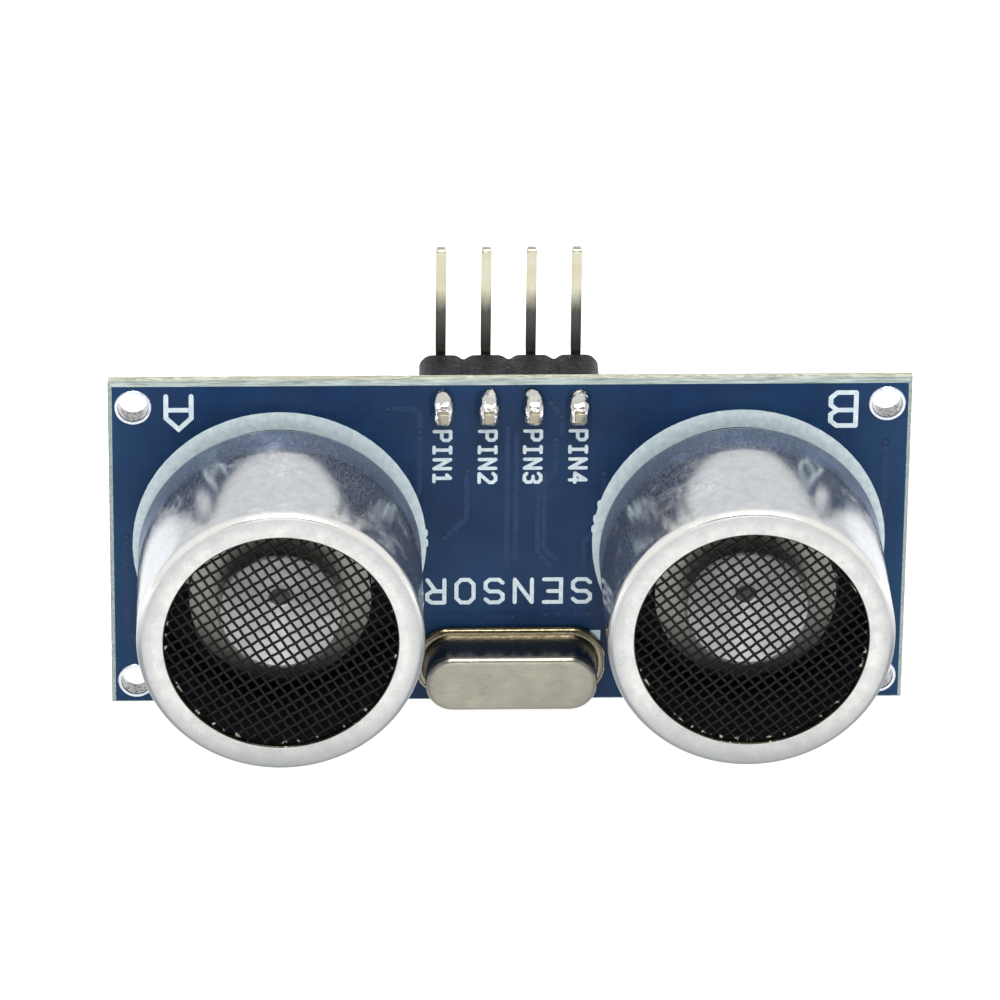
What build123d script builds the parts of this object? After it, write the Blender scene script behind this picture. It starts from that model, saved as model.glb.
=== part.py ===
from build123d import *
import math
import os

# Ultrasonic distance sensor: a small circuit board with two ultrasonic transducers on its front,
# a quartz crystal between them, a right-angle four-pin header and the electronics on its back.
#
# Frame, in millimetres: X runs along the board, +Z points up the header pins and -Y is the way
# the transducers face. The origin is the centre of the four-hole pattern on the board's front.

# ---------------------------------------------------------------- driving dimensions

# Board
BOARD_WIDTH = 45.0
BOARD_HEIGHT = 20.2
BOARD_THICKNESS = 1.2
SCORE_INSET = 0.22          # the V-score leaves a bevel on every edge, front and back
SCORE_DEPTH = 0.35
CORNER_HOLE_SPACING_X = 42.2
CORNER_HOLE_SPACING_Z = 17.2
CORNER_HOLE_RADIUS = 0.83   # inside the plating
PLATING_WALL = 0.07
CORNER_PAD_RADIUS = 1.05
PAD_HEIGHT = 0.05           # how far tinned pads stand out of the board
PAD_ROUNDING = 0.04         # on the rims of the corner pads

# Transducers
TRANSDUCER_SPACING = 25.9
CAN_RADIUS = 7.95
CAN_WALL = 0.4
CAN_FRONT_Y = -12.1
CAN_BACK_Y = -1.6
CAN_EDGE_RADIUS = 0.45
CAN_OPENING_RADIUS = 6.42
CAN_OPENING_BREAK = 0.08    # the broken edge of the opening
SCREEN_THICKNESS = 0.2
SCREEN_PITCH = 0.56
SCREEN_WIRE = 0.17
SCREEN_FIT = 0.05           # gap between the screen's rim and the can
SCREEN_ANGLES = {"receiver": 32.0, "transmitter": 37.5}
BASE_FOOT_RADIUS = 7.1
BASE_PLATE_BACK_Y = -1.75
BASE_PLATE_FRONT_Y = -3.2
BASE_WALL = 0.45            # lines the can and holds the screen against its lip
BASE_FIT = 0.03             # gap between the base and the can
PLINTH_RADIUS = 4.4
PLINTH_BORE_RADIUS = 2.6
PLINTH_FRONT_Y = -5.8
PLINTH_SLOT_WIDTH = 1.2     # lets a lead wire in under the disc
PLINTH_SLOT_DEPTH = 1.1
RING_INNER_GAP = 0.2        # between the piezo disc and the silicone ring
RING_STEP = 0.1             # from the plinth's edge in to the ring's
RING_BULGE = 0.12
DISC_RADIUS = 5.05
DISC_FRONT_Y = -6.6
DISC_THICKNESS = 0.2
PIEZO_RADIUS = 3.1
PIEZO_THICKNESS = 0.3
CONE_RADIUS = 3.5
CONE_DEPTH = 1.7
CONE_WALL = 0.12
CONE_FLOOR_RADIUS = 0.6
ADHESIVE_RADIUS = 0.46
ADHESIVE_HEIGHT = 0.25
TERMINAL_SPACING = 10.0
TERMINAL_RADIUS = 0.3
TERMINAL_FRONT_Y = -4.4
TERMINAL_TAIL_Y = 1.9
LEAD_WIRE_RADIUS = 0.08
LEAD_WIRE_BEND = 0.3
LEAD_WIRE_RISE = 1.0        # straight run of the outer wire before it leans in
LEAD_WIRE_LEAN = 0.25
INNER_WIRE_TURN_X = 2.0     # where the slot's wire turns up to the piezo disc
INNER_WIRE_END_X = 1.6

# Crystal
CRYSTAL_X = 0.1
CRYSTAL_Z = -7.37
CRYSTAL_WIDTH = 9.7
CRYSTAL_HEIGHT = 3.4
CRYSTAL_FRONT_Y = -3.25
CRYSTAL_BACK_Y = -0.15
CRYSTAL_LIP = 0.2           # thickness of each of the two welded flanges
CRYSTAL_FLANGE_WIDTH = 10.8
CRYSTAL_FLANGE_HEIGHT = 4.3
CRYSTAL_WALL = 0.22
CRYSTAL_EDGE_RADIUS = 0.3
CRYSTAL_END_ROUNDING = 0.46  # corner radius as a share of the height
CRYSTAL_LEAD_SPACING = 4.88
CRYSTAL_LEAD_RADIUS = 0.215
GLASS_SEAL_RADIUS = 0.5
CRYSTAL_BOSS_HEIGHT = 0.4
CRYSTAL_BOSS_FIT = 0.1
SEAL_MENISCUS_WIDTH = 0.1
SEAL_MENISCUS_HEIGHT = 0.12
CRYSTAL_TAIL_Y = 1.85
CRYSTAL_HEAD_Y = -1.25      # where the leads end inside, under the clips
BLANK_LENGTH = 7.6
BLANK_WIDTH = 1.8
BLANK_THICKNESS = 0.12
BLANK_Y = -2.15
CLIP_THICKNESS = 0.1
CLIP_WIDTH = 1.0
CLIP_RISE = 0.45            # how far a clip reaches past the strip
CLIP_FOOT = 0.35            # how far a clip's foot reaches inward of its lead
CLIP_GAP = 0.02

# Header
PIN_COUNT = 4
PIN_PITCH = 2.54
PIN_WIDTH = 0.57
PIN_ROW_Z = 8.65
PIN_TAIL_Y = -1.87
PIN_LEG_Y = 4.85
PIN_TIP_Z = 16.07
PIN_BEND_RADIUS = 0.75
HEADER_FRONT_Y = BOARD_THICKNESS + 0.11
HEADER_DEPTH = 2.54
HEADER_HEIGHT = 2.54
HEADER_NOTCH = 0.36
HEADER_CORNER = 0.46
HEADER_END_GAP = 0.04
PIN_TIP_CHAMFER = 0.07      # taken off each side of a pin's end
PIN_TIP_TAPER = 0.12        # over this length
JOINT_HEIGHT = 1.55         # cones of solder round the pins' tails
JOINT_HALF_WIDTH = 0.72
JOINT_HALF_HEIGHT = 1.02

# Parts on the back of the board
CHIP_BODY_WIDTH = 3.9
CHIP_BODY_THICKNESS = 1.45
CHIP_STANDOFF = 0.15
CHIP_LEAD_PITCH = 1.27
CHIP_LEAD_WIDTH = 0.4
CHIP_LEAD_REACH = 3.0       # from the chip's centre line to the toe of a lead
LEAD_THICKNESS = 0.2
CHIP_DRAFT = 7              # degrees
CHIP_END_MARGIN = 0.515     # from the last lead's centre to the end of the body
LEAD_SHOULDER = 0.25        # straight part of a lead next to the body
LEAD_FOOT = 0.6             # part of a lead that lies on its pad
LEAD_SLOPE_SHIFT = 0.12     # keeps the sloping part about as thick as the rest
DIE_THICKNESS = 0.3
DIMPLE_RADIUS = 0.35
DIMPLE_INSET = 0.9
DIMPLE_DEPTH = 0.08
TRANSISTOR_X = 6.1
TRANSISTOR_Z = 5.2
TRANSISTOR_WIDTH = 1.3
TRANSISTOR_LENGTH = 2.9
TRANSISTOR_THICKNESS = 1.0
TRANSISTOR_LEAD_OFFSET = 0.95
CHIP_PART_LENGTH = 1.6      # chip resistors and capacitors, 1.6 by 0.8 mm
CHIP_PART_WIDTH = 0.8
END_CAP_LENGTH = 0.28
RESISTOR_THICKNESS = 0.45
CAPACITOR_THICKNESS = 0.8
CHIP_BODY_INSET = 0.01      # bodies are this much smaller than their end caps
CHIP_ROW_Z = 7.3            # rows of chip parts above and below the two outer chips
CHIP_COLUMN_X = 4.6         # columns of chip parts beside them
MIDDLE_PART_X = 5.9         # chip parts beside the middle chip
MIDDLE_PART_Z = 3.4
CAP_PAD_LENGTH = 0.75
CAP_PAD_REACH = 0.25        # how far a pad runs out past its end cap
FOOT_PAD_LENGTH = 1.0
PAD_MARGIN = 0.15           # pads are this much wider than a lead's foot

CLEARANCE = 0.01            # between a pin and the hole that holds it
THROUGH_HOLE_RADIUS = 0.5
CRYSTAL_HOLE_RADIUS = 0.4

# ---------------------------------------------------------------- derived places

BACK_Y = BOARD_THICKNESS
TRANSDUCER_CENTRES = {
    "receiver": -TRANSDUCER_SPACING / 2,
    "transmitter": TRANSDUCER_SPACING / 2,
}
PIN_NAMES = ("pin_ground", "pin_echo", "pin_trigger", "pin_supply")
PIN_XS = [(i - (PIN_COUNT - 1) / 2) * PIN_PITCH for i in range(PIN_COUNT)]
CORNER_SPOTS = [
    (sx * CORNER_HOLE_SPACING_X / 2, sz * CORNER_HOLE_SPACING_Z / 2)
    for sx in (-1, 1)
    for sz in (-1, 1)
]
TERMINAL_XS = [
    centre + side * TERMINAL_SPACING / 2
    for centre in TRANSDUCER_CENTRES.values()
    for side in (-1, 1)
]
CRYSTAL_LEAD_XS = [CRYSTAL_X + side * CRYSTAL_LEAD_SPACING / 2 for side in (-1, 1)]

# Each chip: centre x, centre z, leads on each side, whether its long side runs along Z, die size
CHIPS = {
    "transmitter_driver_chip": (TRANSDUCER_CENTRES["transmitter"], 0.0, 8, True, 2.0),
    "echo_amplifier_chip": (TRANSDUCER_CENTRES["receiver"], 0.0, 7, True, 1.6),
    "controller_chip": (0.0, 1.1, 7, False, 2.2),
}

os.makedirs("parts", exist_ok=True)


def write_piece(builder, name):
    """Label a finished piece and write it as its own STEP file."""
    builder.part.label = name
    export_step(builder.part, f"parts/{name}.step")


def facing_front(y):
    """A drawing plane at depth y with X to the right and Z up, extruding towards -Y."""
    return Plane(origin=(0, y, 0), x_dir=(1, 0, 0), z_dir=(0, -1, 0))


def facing_back(y, x=0.0, z=0.0):
    """A drawing plane at depth y whose extrusions go towards +Y, away from the board's back."""
    return Plane(origin=(x, y, z), x_dir=(1, 0, 0), z_dir=(0, 1, 0))


def turning_axis(x, z=0.0):
    """The line through (x, z) that runs along Y."""
    return Axis((x, 0, z), (0, 1, 0))


def turned(outline, x, z=0.0):
    """The solid made by turning a closed outline of (radius, y) points about a line along Y."""
    with BuildPart() as solid:
        with BuildSketch(Plane(origin=(x, 0, z))):
            with BuildLine():
                Polyline(*outline, close=True)
            make_face()
        revolve(axis=turning_axis(x, z))
    return solid.part


# ---------------------------------------------------------------- board


def make_board():
    """The laminate, broken out along V-scores, with every drilled hole."""
    score_angle = math.degrees(math.atan(SCORE_INSET / SCORE_DEPTH))
    web = BOARD_THICKNESS - 2 * SCORE_DEPTH
    with BuildPart() as board:
        with BuildSketch(facing_front(SCORE_DEPTH)) as front_outline:
            Rectangle(BOARD_WIDTH, BOARD_HEIGHT)
        extrude(amount=SCORE_DEPTH, taper=score_angle)
        extrude(front_outline.sketch, amount=-web)
        with BuildSketch(facing_back(SCORE_DEPTH + web)):
            Rectangle(BOARD_WIDTH, BOARD_HEIGHT)
        extrude(amount=SCORE_DEPTH, taper=score_angle)
        with Locations(facing_front(0)):
            with GridLocations(CORNER_HOLE_SPACING_X, CORNER_HOLE_SPACING_Z, 2, 2):
                Hole(CORNER_HOLE_RADIUS + PLATING_WALL + CLEARANCE)
            with Locations(*[(x, PIN_ROW_Z) for x in PIN_XS]):
                Hole(THROUGH_HOLE_RADIUS)
            with Locations(*[(x, 0) for x in TERMINAL_XS]):
                Hole(THROUGH_HOLE_RADIUS)
            with Locations(*[(x, CRYSTAL_Z) for x in CRYSTAL_LEAD_XS]):
                Hole(CRYSTAL_HOLE_RADIUS)
    write_piece(board, "board")


def make_corner_hole_plating():
    """Four tinned barrels, each with a pad on both faces of the board."""
    outer = CORNER_HOLE_RADIUS + PLATING_WALL
    rounding = PAD_ROUNDING
    outline = [
        (CORNER_HOLE_RADIUS, rounding),
        (CORNER_HOLE_RADIUS + rounding, -PAD_HEIGHT),
        (CORNER_PAD_RADIUS - rounding, -PAD_HEIGHT),
        (CORNER_PAD_RADIUS, 0),
        (outer, 0),
        (outer, BACK_Y),
        (CORNER_PAD_RADIUS, BACK_Y),
        (CORNER_PAD_RADIUS - rounding, BACK_Y + PAD_HEIGHT),
        (CORNER_HOLE_RADIUS + rounding, BACK_Y + PAD_HEIGHT),
        (CORNER_HOLE_RADIUS, BACK_Y - rounding),
    ]
    with BuildPart() as plating:
        for x, z in CORNER_SPOTS:
            add(turned(outline, x, z))
    write_piece(plating, "corner_hole_plating")


# ---------------------------------------------------------------- header


def header_outline():
    """The comb's octagonal outline as (x, height) points, once round."""
    half = HEADER_HEIGHT / 2
    ends = PIN_COUNT * PIN_PITCH / 2 - HEADER_END_GAP
    corner = HEADER_CORNER
    top = [(-ends, half - corner), (-ends + corner, half)]
    for i in range(1, PIN_COUNT):
        valley = (i - PIN_COUNT / 2) * PIN_PITCH
        top += [
            (valley - HEADER_NOTCH, half),
            (valley, half - HEADER_NOTCH),
            (valley + HEADER_NOTCH, half),
        ]
    top += [(ends - corner, half), (ends, half - corner)]
    bottom = [(x, -height) for x, height in reversed(top)]
    return top + bottom


def make_header_body():
    """The black moulded comb that holds the four pins against the board's back."""
    with BuildPart() as body:
        with BuildSketch(facing_back(HEADER_FRONT_Y)):
            with BuildLine():
                Polyline(*[(x, -(PIN_ROW_Z + h)) for x, h in header_outline()], close=True)
            make_face()
            with Locations(*[(x, -PIN_ROW_Z) for x in PIN_XS]):
                hole = PIN_WIDTH + 2 * CLEARANCE
                Rectangle(hole, hole, mode=Mode.SUBTRACT)
        extrude(amount=HEADER_DEPTH)
    write_piece(body, "header_body")


def make_header_pin(name, x):
    """A square wire through board and comb, bent up behind the comb, with chamfered ends."""
    with BuildPart() as pin:
        with BuildLine(Plane(origin=(x, 0, 0), x_dir=(0, 1, 0), z_dir=(1, 0, 0))) as route:
            FilletPolyline(
                (PIN_TAIL_Y, PIN_ROW_Z),
                (PIN_LEG_Y, PIN_ROW_Z),
                (PIN_LEG_Y, PIN_TIP_Z),
                radius=PIN_BEND_RADIUS,
            )
        with BuildSketch(Plane(origin=(x, PIN_TAIL_Y, PIN_ROW_Z), z_dir=(0, 1, 0))):
            Rectangle(PIN_WIDTH, PIN_WIDTH)
        sweep(path=route.wires()[0])
        chamfer(pin.faces().sort_by(Axis.Z)[-1].edges(), PIN_TIP_TAPER, PIN_TIP_CHAMFER)
    write_piece(pin, name)


def make_header_solder_joints():
    """A cone of solder on an upright oval pad round each pin's tail."""
    tip_half = PIN_WIDTH * 0.76
    levels = (0.0, 0.2, 0.5, 1.0)
    pin_hole = PIN_WIDTH + 2 * CLEARANCE
    with BuildPart() as joints:
        for x in PIN_XS:
            for level in levels:
                spread = (1 - level) ** 2
                half_width = tip_half + (JOINT_HALF_WIDTH - tip_half) * spread
                half_height = tip_half + (JOINT_HALF_HEIGHT - tip_half) * spread
                centre = (x, -JOINT_HEIGHT * level, PIN_ROW_Z)
                with BuildSketch(Plane(origin=centre, x_dir=(1, 0, 0), z_dir=(0, -1, 0))):
                    Ellipse(half_width, half_height)
            loft()
        with BuildSketch(facing_front(0)):
            with Locations(*[(x, PIN_ROW_Z) for x in PIN_XS]):
                Rectangle(pin_hole, pin_hole)
        extrude(amount=2 * JOINT_HEIGHT, mode=Mode.SUBTRACT)
    write_piece(joints, "header_solder_joints")


# ---------------------------------------------------------------- transducers


def make_can(name, centre):
    """The drawn aluminium can, open at the back, with a wide front lip round its opening."""
    inner = CAN_RADIUS - CAN_WALL
    lip_y = CAN_FRONT_Y + CAN_WALL
    edge = CAN_EDGE_RADIUS
    with BuildPart() as can:
        with BuildSketch(Plane(origin=(centre, 0, 0))):
            with BuildLine():
                Polyline(
                    (CAN_RADIUS, CAN_FRONT_Y + edge),
                    (CAN_RADIUS, CAN_BACK_Y),
                    (inner, CAN_BACK_Y),
                    (inner, lip_y),
                    (CAN_OPENING_RADIUS, lip_y),
                    (CAN_OPENING_RADIUS, CAN_FRONT_Y + CAN_OPENING_BREAK),
                    (CAN_OPENING_RADIUS + CAN_OPENING_BREAK, CAN_FRONT_Y),
                    (CAN_RADIUS - edge, CAN_FRONT_Y),
                )
                RadiusArc(
                    (CAN_RADIUS - edge, CAN_FRONT_Y),
                    (CAN_RADIUS, CAN_FRONT_Y + edge),
                    -edge,
                )
            make_face()
        revolve(axis=turning_axis(centre))
    write_piece(can, f"{name}_can")


def make_screen(name, centre):
    """The square-mesh screen that closes the can's opening from inside."""
    back_y = CAN_FRONT_Y + CAN_WALL + SCREEN_THICKNESS
    radius = CAN_RADIUS - CAN_WALL - SCREEN_FIT
    weave_angle = math.radians(SCREEN_ANGLES[name])
    reach = math.ceil(CAN_OPENING_RADIUS / SCREEN_PITCH)
    spots = []
    for i in range(-reach, reach + 1):
        for j in range(-reach, reach + 1):
            u, v = i * SCREEN_PITCH, j * SCREEN_PITCH
            if math.hypot(u, v) < CAN_OPENING_RADIUS + SCREEN_PITCH / 4:
                x = centre + u * math.cos(weave_angle) - v * math.sin(weave_angle)
                z = u * math.sin(weave_angle) + v * math.cos(weave_angle)
                spots.append((x, z))
    gap = SCREEN_PITCH - SCREEN_WIRE
    with BuildPart() as screen:
        with BuildSketch(facing_front(back_y)):
            with Locations((centre, 0)):
                Circle(radius)
            with Locations(*spots):
                turn = math.degrees(weave_angle)
                Rectangle(gap, gap, rotation=turn, mode=Mode.SUBTRACT)
        extrude(amount=SCREEN_THICKNESS)
    write_piece(screen, f"{name}_screen")


def make_base(name, centre):
    """The moulded base: a foot on the board, a cup that lines the can and a hollow plinth."""
    plate_radius = CAN_RADIUS - CAN_WALL - BASE_FIT
    wall_radius = plate_radius - BASE_WALL
    wall_front_y = CAN_FRONT_Y + CAN_WALL + SCREEN_THICKNESS
    outline = [
        (0, 0),
        (BASE_FOOT_RADIUS, 0),
        (BASE_FOOT_RADIUS, BASE_PLATE_BACK_Y),
        (plate_radius, BASE_PLATE_BACK_Y),
        (plate_radius, wall_front_y),
        (wall_radius, wall_front_y),
        (wall_radius, BASE_PLATE_FRONT_Y),
        (PLINTH_RADIUS, BASE_PLATE_FRONT_Y),
        (PLINTH_RADIUS, PLINTH_FRONT_Y),
        (PLINTH_BORE_RADIUS, PLINTH_FRONT_Y),
        (PLINTH_BORE_RADIUS, BASE_PLATE_FRONT_Y),
        (0, BASE_PLATE_FRONT_Y),
    ]
    with BuildPart() as base:
        add(turned(outline, centre))
        with BuildSketch(facing_front(PLINTH_FRONT_Y + PLINTH_SLOT_DEPTH)):
            with Locations((centre + PLINTH_RADIUS / 2, 0)):
                Rectangle(PLINTH_RADIUS, PLINTH_SLOT_WIDTH)
        extrude(amount=PLINTH_SLOT_DEPTH, mode=Mode.SUBTRACT)
        with BuildSketch(facing_front(0)):
            with Locations(*[(centre + side * TERMINAL_SPACING / 2, 0) for side in (-1, 1)]):
                Circle(TERMINAL_RADIUS + CLEARANCE)
        extrude(amount=-2 * BASE_PLATE_FRONT_Y, mode=Mode.SUBTRACT)
    write_piece(base, f"{name}_base")


def make_silicone_ring(name, centre):
    """The soft ring that carries the vibration disc on the plinth."""
    back_of_disc = DISC_FRONT_Y + DISC_THICKNESS
    inner = PIEZO_RADIUS + RING_INNER_GAP
    outer = PLINTH_RADIUS - RING_STEP
    middle = (back_of_disc + PLINTH_FRONT_Y) / 2
    outline = [
        (inner, PLINTH_FRONT_Y),
        (inner, back_of_disc),
        (outer, back_of_disc),
        (outer + RING_BULGE, middle),
        (outer, PLINTH_FRONT_Y),
    ]
    with BuildPart() as ring:
        add(turned(outline, centre))
    write_piece(ring, f"{name}_silicone_ring")


def make_disc(name, label, centre, radius, front_y, thickness):
    """A flat round plate."""
    with BuildPart() as disc:
        with BuildSketch(facing_front(front_y + thickness)):
            with Locations((centre, 0)):
                Circle(radius)
        extrude(amount=thickness)
    write_piece(disc, f"{name}_{label}")


def make_cone(name, centre):
    """The spun aluminium cone whose open end faces the screen."""
    floor_y = DISC_FRONT_Y
    rim_y = DISC_FRONT_Y - CONE_DEPTH
    outline = [
        (0, floor_y),
        (CONE_FLOOR_RADIUS, floor_y),
        (CONE_RADIUS, rim_y),
        (CONE_RADIUS - CONE_WALL, rim_y),
        (CONE_FLOOR_RADIUS - CONE_WALL / 2, floor_y - CONE_WALL),
        (0, floor_y - CONE_WALL),
    ]
    with BuildPart() as cone:
        add(turned(outline, centre))
    write_piece(cone, f"{name}_cone")


def make_cone_adhesive(name, centre):
    """The drop of adhesive that fixes the cone's floor to the disc."""
    floor_y = DISC_FRONT_Y - CONE_WALL
    top = (0, floor_y - ADHESIVE_HEIGHT)
    rim = (ADHESIVE_RADIUS, floor_y)
    with BuildPart() as drop:
        with BuildSketch(Plane(origin=(centre, 0, 0))):
            with BuildLine():
                Polyline(top, (0, floor_y), rim)
                TangentArc(top, rim, tangent=(1, 0))
            make_face()
        revolve(axis=turning_axis(centre))
    write_piece(drop, f"{name}_cone_adhesive")


def make_terminals(name, centre):
    """Two round terminal pins from inside the can, through base and board."""
    with BuildPart() as terminals:
        with BuildSketch(facing_front(TERMINAL_TAIL_Y)):
            with Locations(*[(centre + side * TERMINAL_SPACING / 2, 0) for side in (-1, 1)]):
                Circle(TERMINAL_RADIUS)
        extrude(amount=TERMINAL_TAIL_Y - TERMINAL_FRONT_Y)
    write_piece(terminals, f"{name}_terminals")


def make_lead_wires(name, centre):
    """Two fine wires, one from each terminal, to the vibration disc and to the piezo disc."""
    outer = TERMINAL_SPACING / 2
    back_of_disc = DISC_FRONT_Y + DISC_THICKNESS
    back_of_piezo = back_of_disc + PIEZO_THICKNESS
    slot_y = PLINTH_FRONT_Y + PLINTH_SLOT_DEPTH / 2
    start_y = TERMINAL_FRONT_Y
    disc_route = [
        (-outer, start_y),
        (-outer, start_y - LEAD_WIRE_RISE),
        (-outer + LEAD_WIRE_LEAN, back_of_disc),
    ]
    piezo_route = [
        (outer, start_y),
        (outer, slot_y),
        (INNER_WIRE_TURN_X, slot_y),
        (INNER_WIRE_END_X, back_of_piezo),
    ]
    with BuildPart() as wires:
        for route in (disc_route, piezo_route):
            with BuildLine(Plane(origin=(centre, 0, 0))) as path:
                FilletPolyline(*route, radius=LEAD_WIRE_BEND)
            with BuildSketch(Plane(origin=path.line @ 0, z_dir=path.line % 0)):
                Circle(LEAD_WIRE_RADIUS)
            sweep(path=path.wires()[0])
    write_piece(wires, f"{name}_lead_wires")


# ---------------------------------------------------------------- crystal


def crystal_profile(width, height):
    """The rounded oblong that every layer of the crystal shares, at its own size."""
    with BuildSketch() as profile:
        RectangleRounded(width, height, height * CRYSTAL_END_ROUNDING)
    return profile.sketch


def crystal_plane(y):
    """A drawing plane on the crystal's centre line, extruding towards -Y."""
    return Plane(origin=(CRYSTAL_X, y, CRYSTAL_Z), x_dir=(1, 0, 0), z_dir=(0, -1, 0))


def make_crystal_cover():
    """The drawn metal cover with its welded flange, hollow inside."""
    lip_back = CRYSTAL_BACK_Y - CRYSTAL_LIP
    lip_front = lip_back - CRYSTAL_LIP
    inner_width = CRYSTAL_WIDTH - 2 * CRYSTAL_WALL
    inner_height = CRYSTAL_HEIGHT - 2 * CRYSTAL_WALL
    with BuildPart() as cover:
        with BuildSketch(crystal_plane(lip_front)):
            add(crystal_profile(CRYSTAL_WIDTH, CRYSTAL_HEIGHT))
        extrude(amount=lip_front - CRYSTAL_FRONT_Y)
        fillet(cover.faces().sort_by(Axis.Y)[0].edges(), CRYSTAL_EDGE_RADIUS)
        with BuildSketch(crystal_plane(lip_back)):
            add(crystal_profile(CRYSTAL_FLANGE_WIDTH, CRYSTAL_FLANGE_HEIGHT))
        extrude(amount=CRYSTAL_LIP)
        with BuildSketch(crystal_plane(lip_back)):
            add(crystal_profile(inner_width, inner_height))
        extrude(amount=lip_back - CRYSTAL_FRONT_Y - CRYSTAL_WALL, mode=Mode.SUBTRACT)
    write_piece(cover, "crystal_cover")


def make_crystal_base():
    """The flanged base plate, with a hole for each glass-sealed lead."""
    boss_width = CRYSTAL_WIDTH - 2 * CRYSTAL_WALL - CRYSTAL_BOSS_FIT
    boss_depth = CRYSTAL_HEIGHT - 2 * CRYSTAL_WALL - CRYSTAL_BOSS_FIT
    with BuildPart() as base:
        with BuildSketch(crystal_plane(CRYSTAL_BACK_Y)):
            add(crystal_profile(CRYSTAL_FLANGE_WIDTH, CRYSTAL_FLANGE_HEIGHT))
        extrude(amount=CRYSTAL_LIP)
        with BuildSketch(crystal_plane(CRYSTAL_BACK_Y)):
            add(crystal_profile(boss_width, boss_depth))
        extrude(amount=CRYSTAL_LIP + CRYSTAL_BOSS_HEIGHT)
        with BuildSketch(facing_front(0)):
            with Locations(*[(x, CRYSTAL_Z) for x in CRYSTAL_LEAD_XS]):
                Circle(GLASS_SEAL_RADIUS + CLEARANCE / 2)
        extrude(amount=-CRYSTAL_FRONT_Y, mode=Mode.SUBTRACT)
    write_piece(base, "crystal_base")


def make_crystal_glass_seals():
    """The glass bead round each lead, with a small meniscus towards the board."""
    front_y = CRYSTAL_BACK_Y - CRYSTAL_LIP - CRYSTAL_BOSS_HEIGHT
    inner = CRYSTAL_LEAD_RADIUS + CLEARANCE / 2
    outline = [
        (inner, front_y),
        (GLASS_SEAL_RADIUS, front_y),
        (GLASS_SEAL_RADIUS, CRYSTAL_BACK_Y),
        (inner + SEAL_MENISCUS_WIDTH, CRYSTAL_BACK_Y + SEAL_MENISCUS_HEIGHT),
        (inner, CRYSTAL_BACK_Y + SEAL_MENISCUS_HEIGHT),
    ]
    with BuildPart() as seals:
        for x in CRYSTAL_LEAD_XS:
            add(turned(outline, x, CRYSTAL_Z))
    write_piece(seals, "crystal_glass_seals")


def make_crystal_leads():
    """Two round leads through the base plate and the board."""
    with BuildPart() as leads:
        with BuildSketch(facing_front(CRYSTAL_TAIL_Y)):
            with Locations(*[(x, CRYSTAL_Z) for x in CRYSTAL_LEAD_XS]):
                Circle(CRYSTAL_LEAD_RADIUS)
        extrude(amount=CRYSTAL_TAIL_Y - CRYSTAL_HEAD_Y)
    write_piece(leads, "crystal_leads")


def make_quartz_blank():
    """The thin quartz strip, held by its two ends."""
    with BuildPart() as blank:
        with BuildSketch(crystal_plane(BLANK_Y)):
            Rectangle(BLANK_LENGTH, BLANK_WIDTH)
        extrude(amount=BLANK_THICKNESS)
    write_piece(blank, "crystal_quartz_blank")


def make_crystal_clips():
    """A bent spring clip on each lead's head, reaching up to one end of the quartz strip."""
    strip = CLIP_THICKNESS
    foot_y = CRYSTAL_HEAD_Y
    top_y = BLANK_Y - CLIP_RISE
    inner = CRYSTAL_LEAD_SPACING / 2 - CLIP_FOOT
    outer = BLANK_LENGTH / 2 + CLIP_GAP
    with BuildPart() as clips:
        for side in (-1, 1):
            with BuildSketch(Plane(origin=(CRYSTAL_X, 0, CRYSTAL_Z))):
                with BuildLine():
                    Polyline(
                        (side * inner, foot_y),
                        (side * (outer + strip), foot_y),
                        (side * (outer + strip), top_y),
                        (side * outer, top_y),
                        (side * outer, foot_y - strip),
                        (side * inner, foot_y - strip),
                        close=True,
                    )
                make_face()
            extrude(amount=CLIP_WIDTH / 2, both=True)
    write_piece(clips, "crystal_clips")


# ---------------------------------------------------------------- soldered ends on the back


def make_round_solder_joints(name, spots, pin_radius, pad_radius, height):
    """A concave cone of solder on the board's back round each of several round pins."""
    inner = pin_radius + CLEARANCE / 2
    top = (inner, BACK_Y + height)
    rim = (pad_radius, BACK_Y + PAD_HEIGHT)
    waist = (inner + (pad_radius - inner) / 3, BACK_Y + height * 0.45)
    with BuildPart() as joints:
        for x, z in spots:
            with BuildSketch(Plane(origin=(x, 0, z))):
                with BuildLine():
                    Polyline(top, (inner, BACK_Y), (pad_radius, BACK_Y), rim)
                    ThreePointArc(rim, waist, top)
                make_face()
            revolve(axis=turning_axis(x, z))
    write_piece(joints, name)


# ---------------------------------------------------------------- chips


def gull_wing(start, reach, middle_y):
    """The side outline of a gull-wing lead as (outward, y) points."""
    foot_y = BACK_Y + PAD_HEIGHT
    knee = start + LEAD_SHOULDER
    heel = reach - LEAD_FOOT
    return [
        (start, middle_y + LEAD_THICKNESS / 2),
        (knee + LEAD_SLOPE_SHIFT, middle_y + LEAD_THICKNESS / 2),
        (heel + LEAD_SLOPE_SHIFT, foot_y + LEAD_THICKNESS),
        (reach, foot_y + LEAD_THICKNESS),
        (reach, foot_y),
        (heel, foot_y),
        (knee, middle_y - LEAD_THICKNESS / 2),
        (start, middle_y - LEAD_THICKNESS / 2),
    ]


def lead_offsets(count):
    """Where a row of leads sits along the chip, centred on the chip."""
    return [(i - (count - 1) / 2) * CHIP_LEAD_PITCH for i in range(count)]


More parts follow.
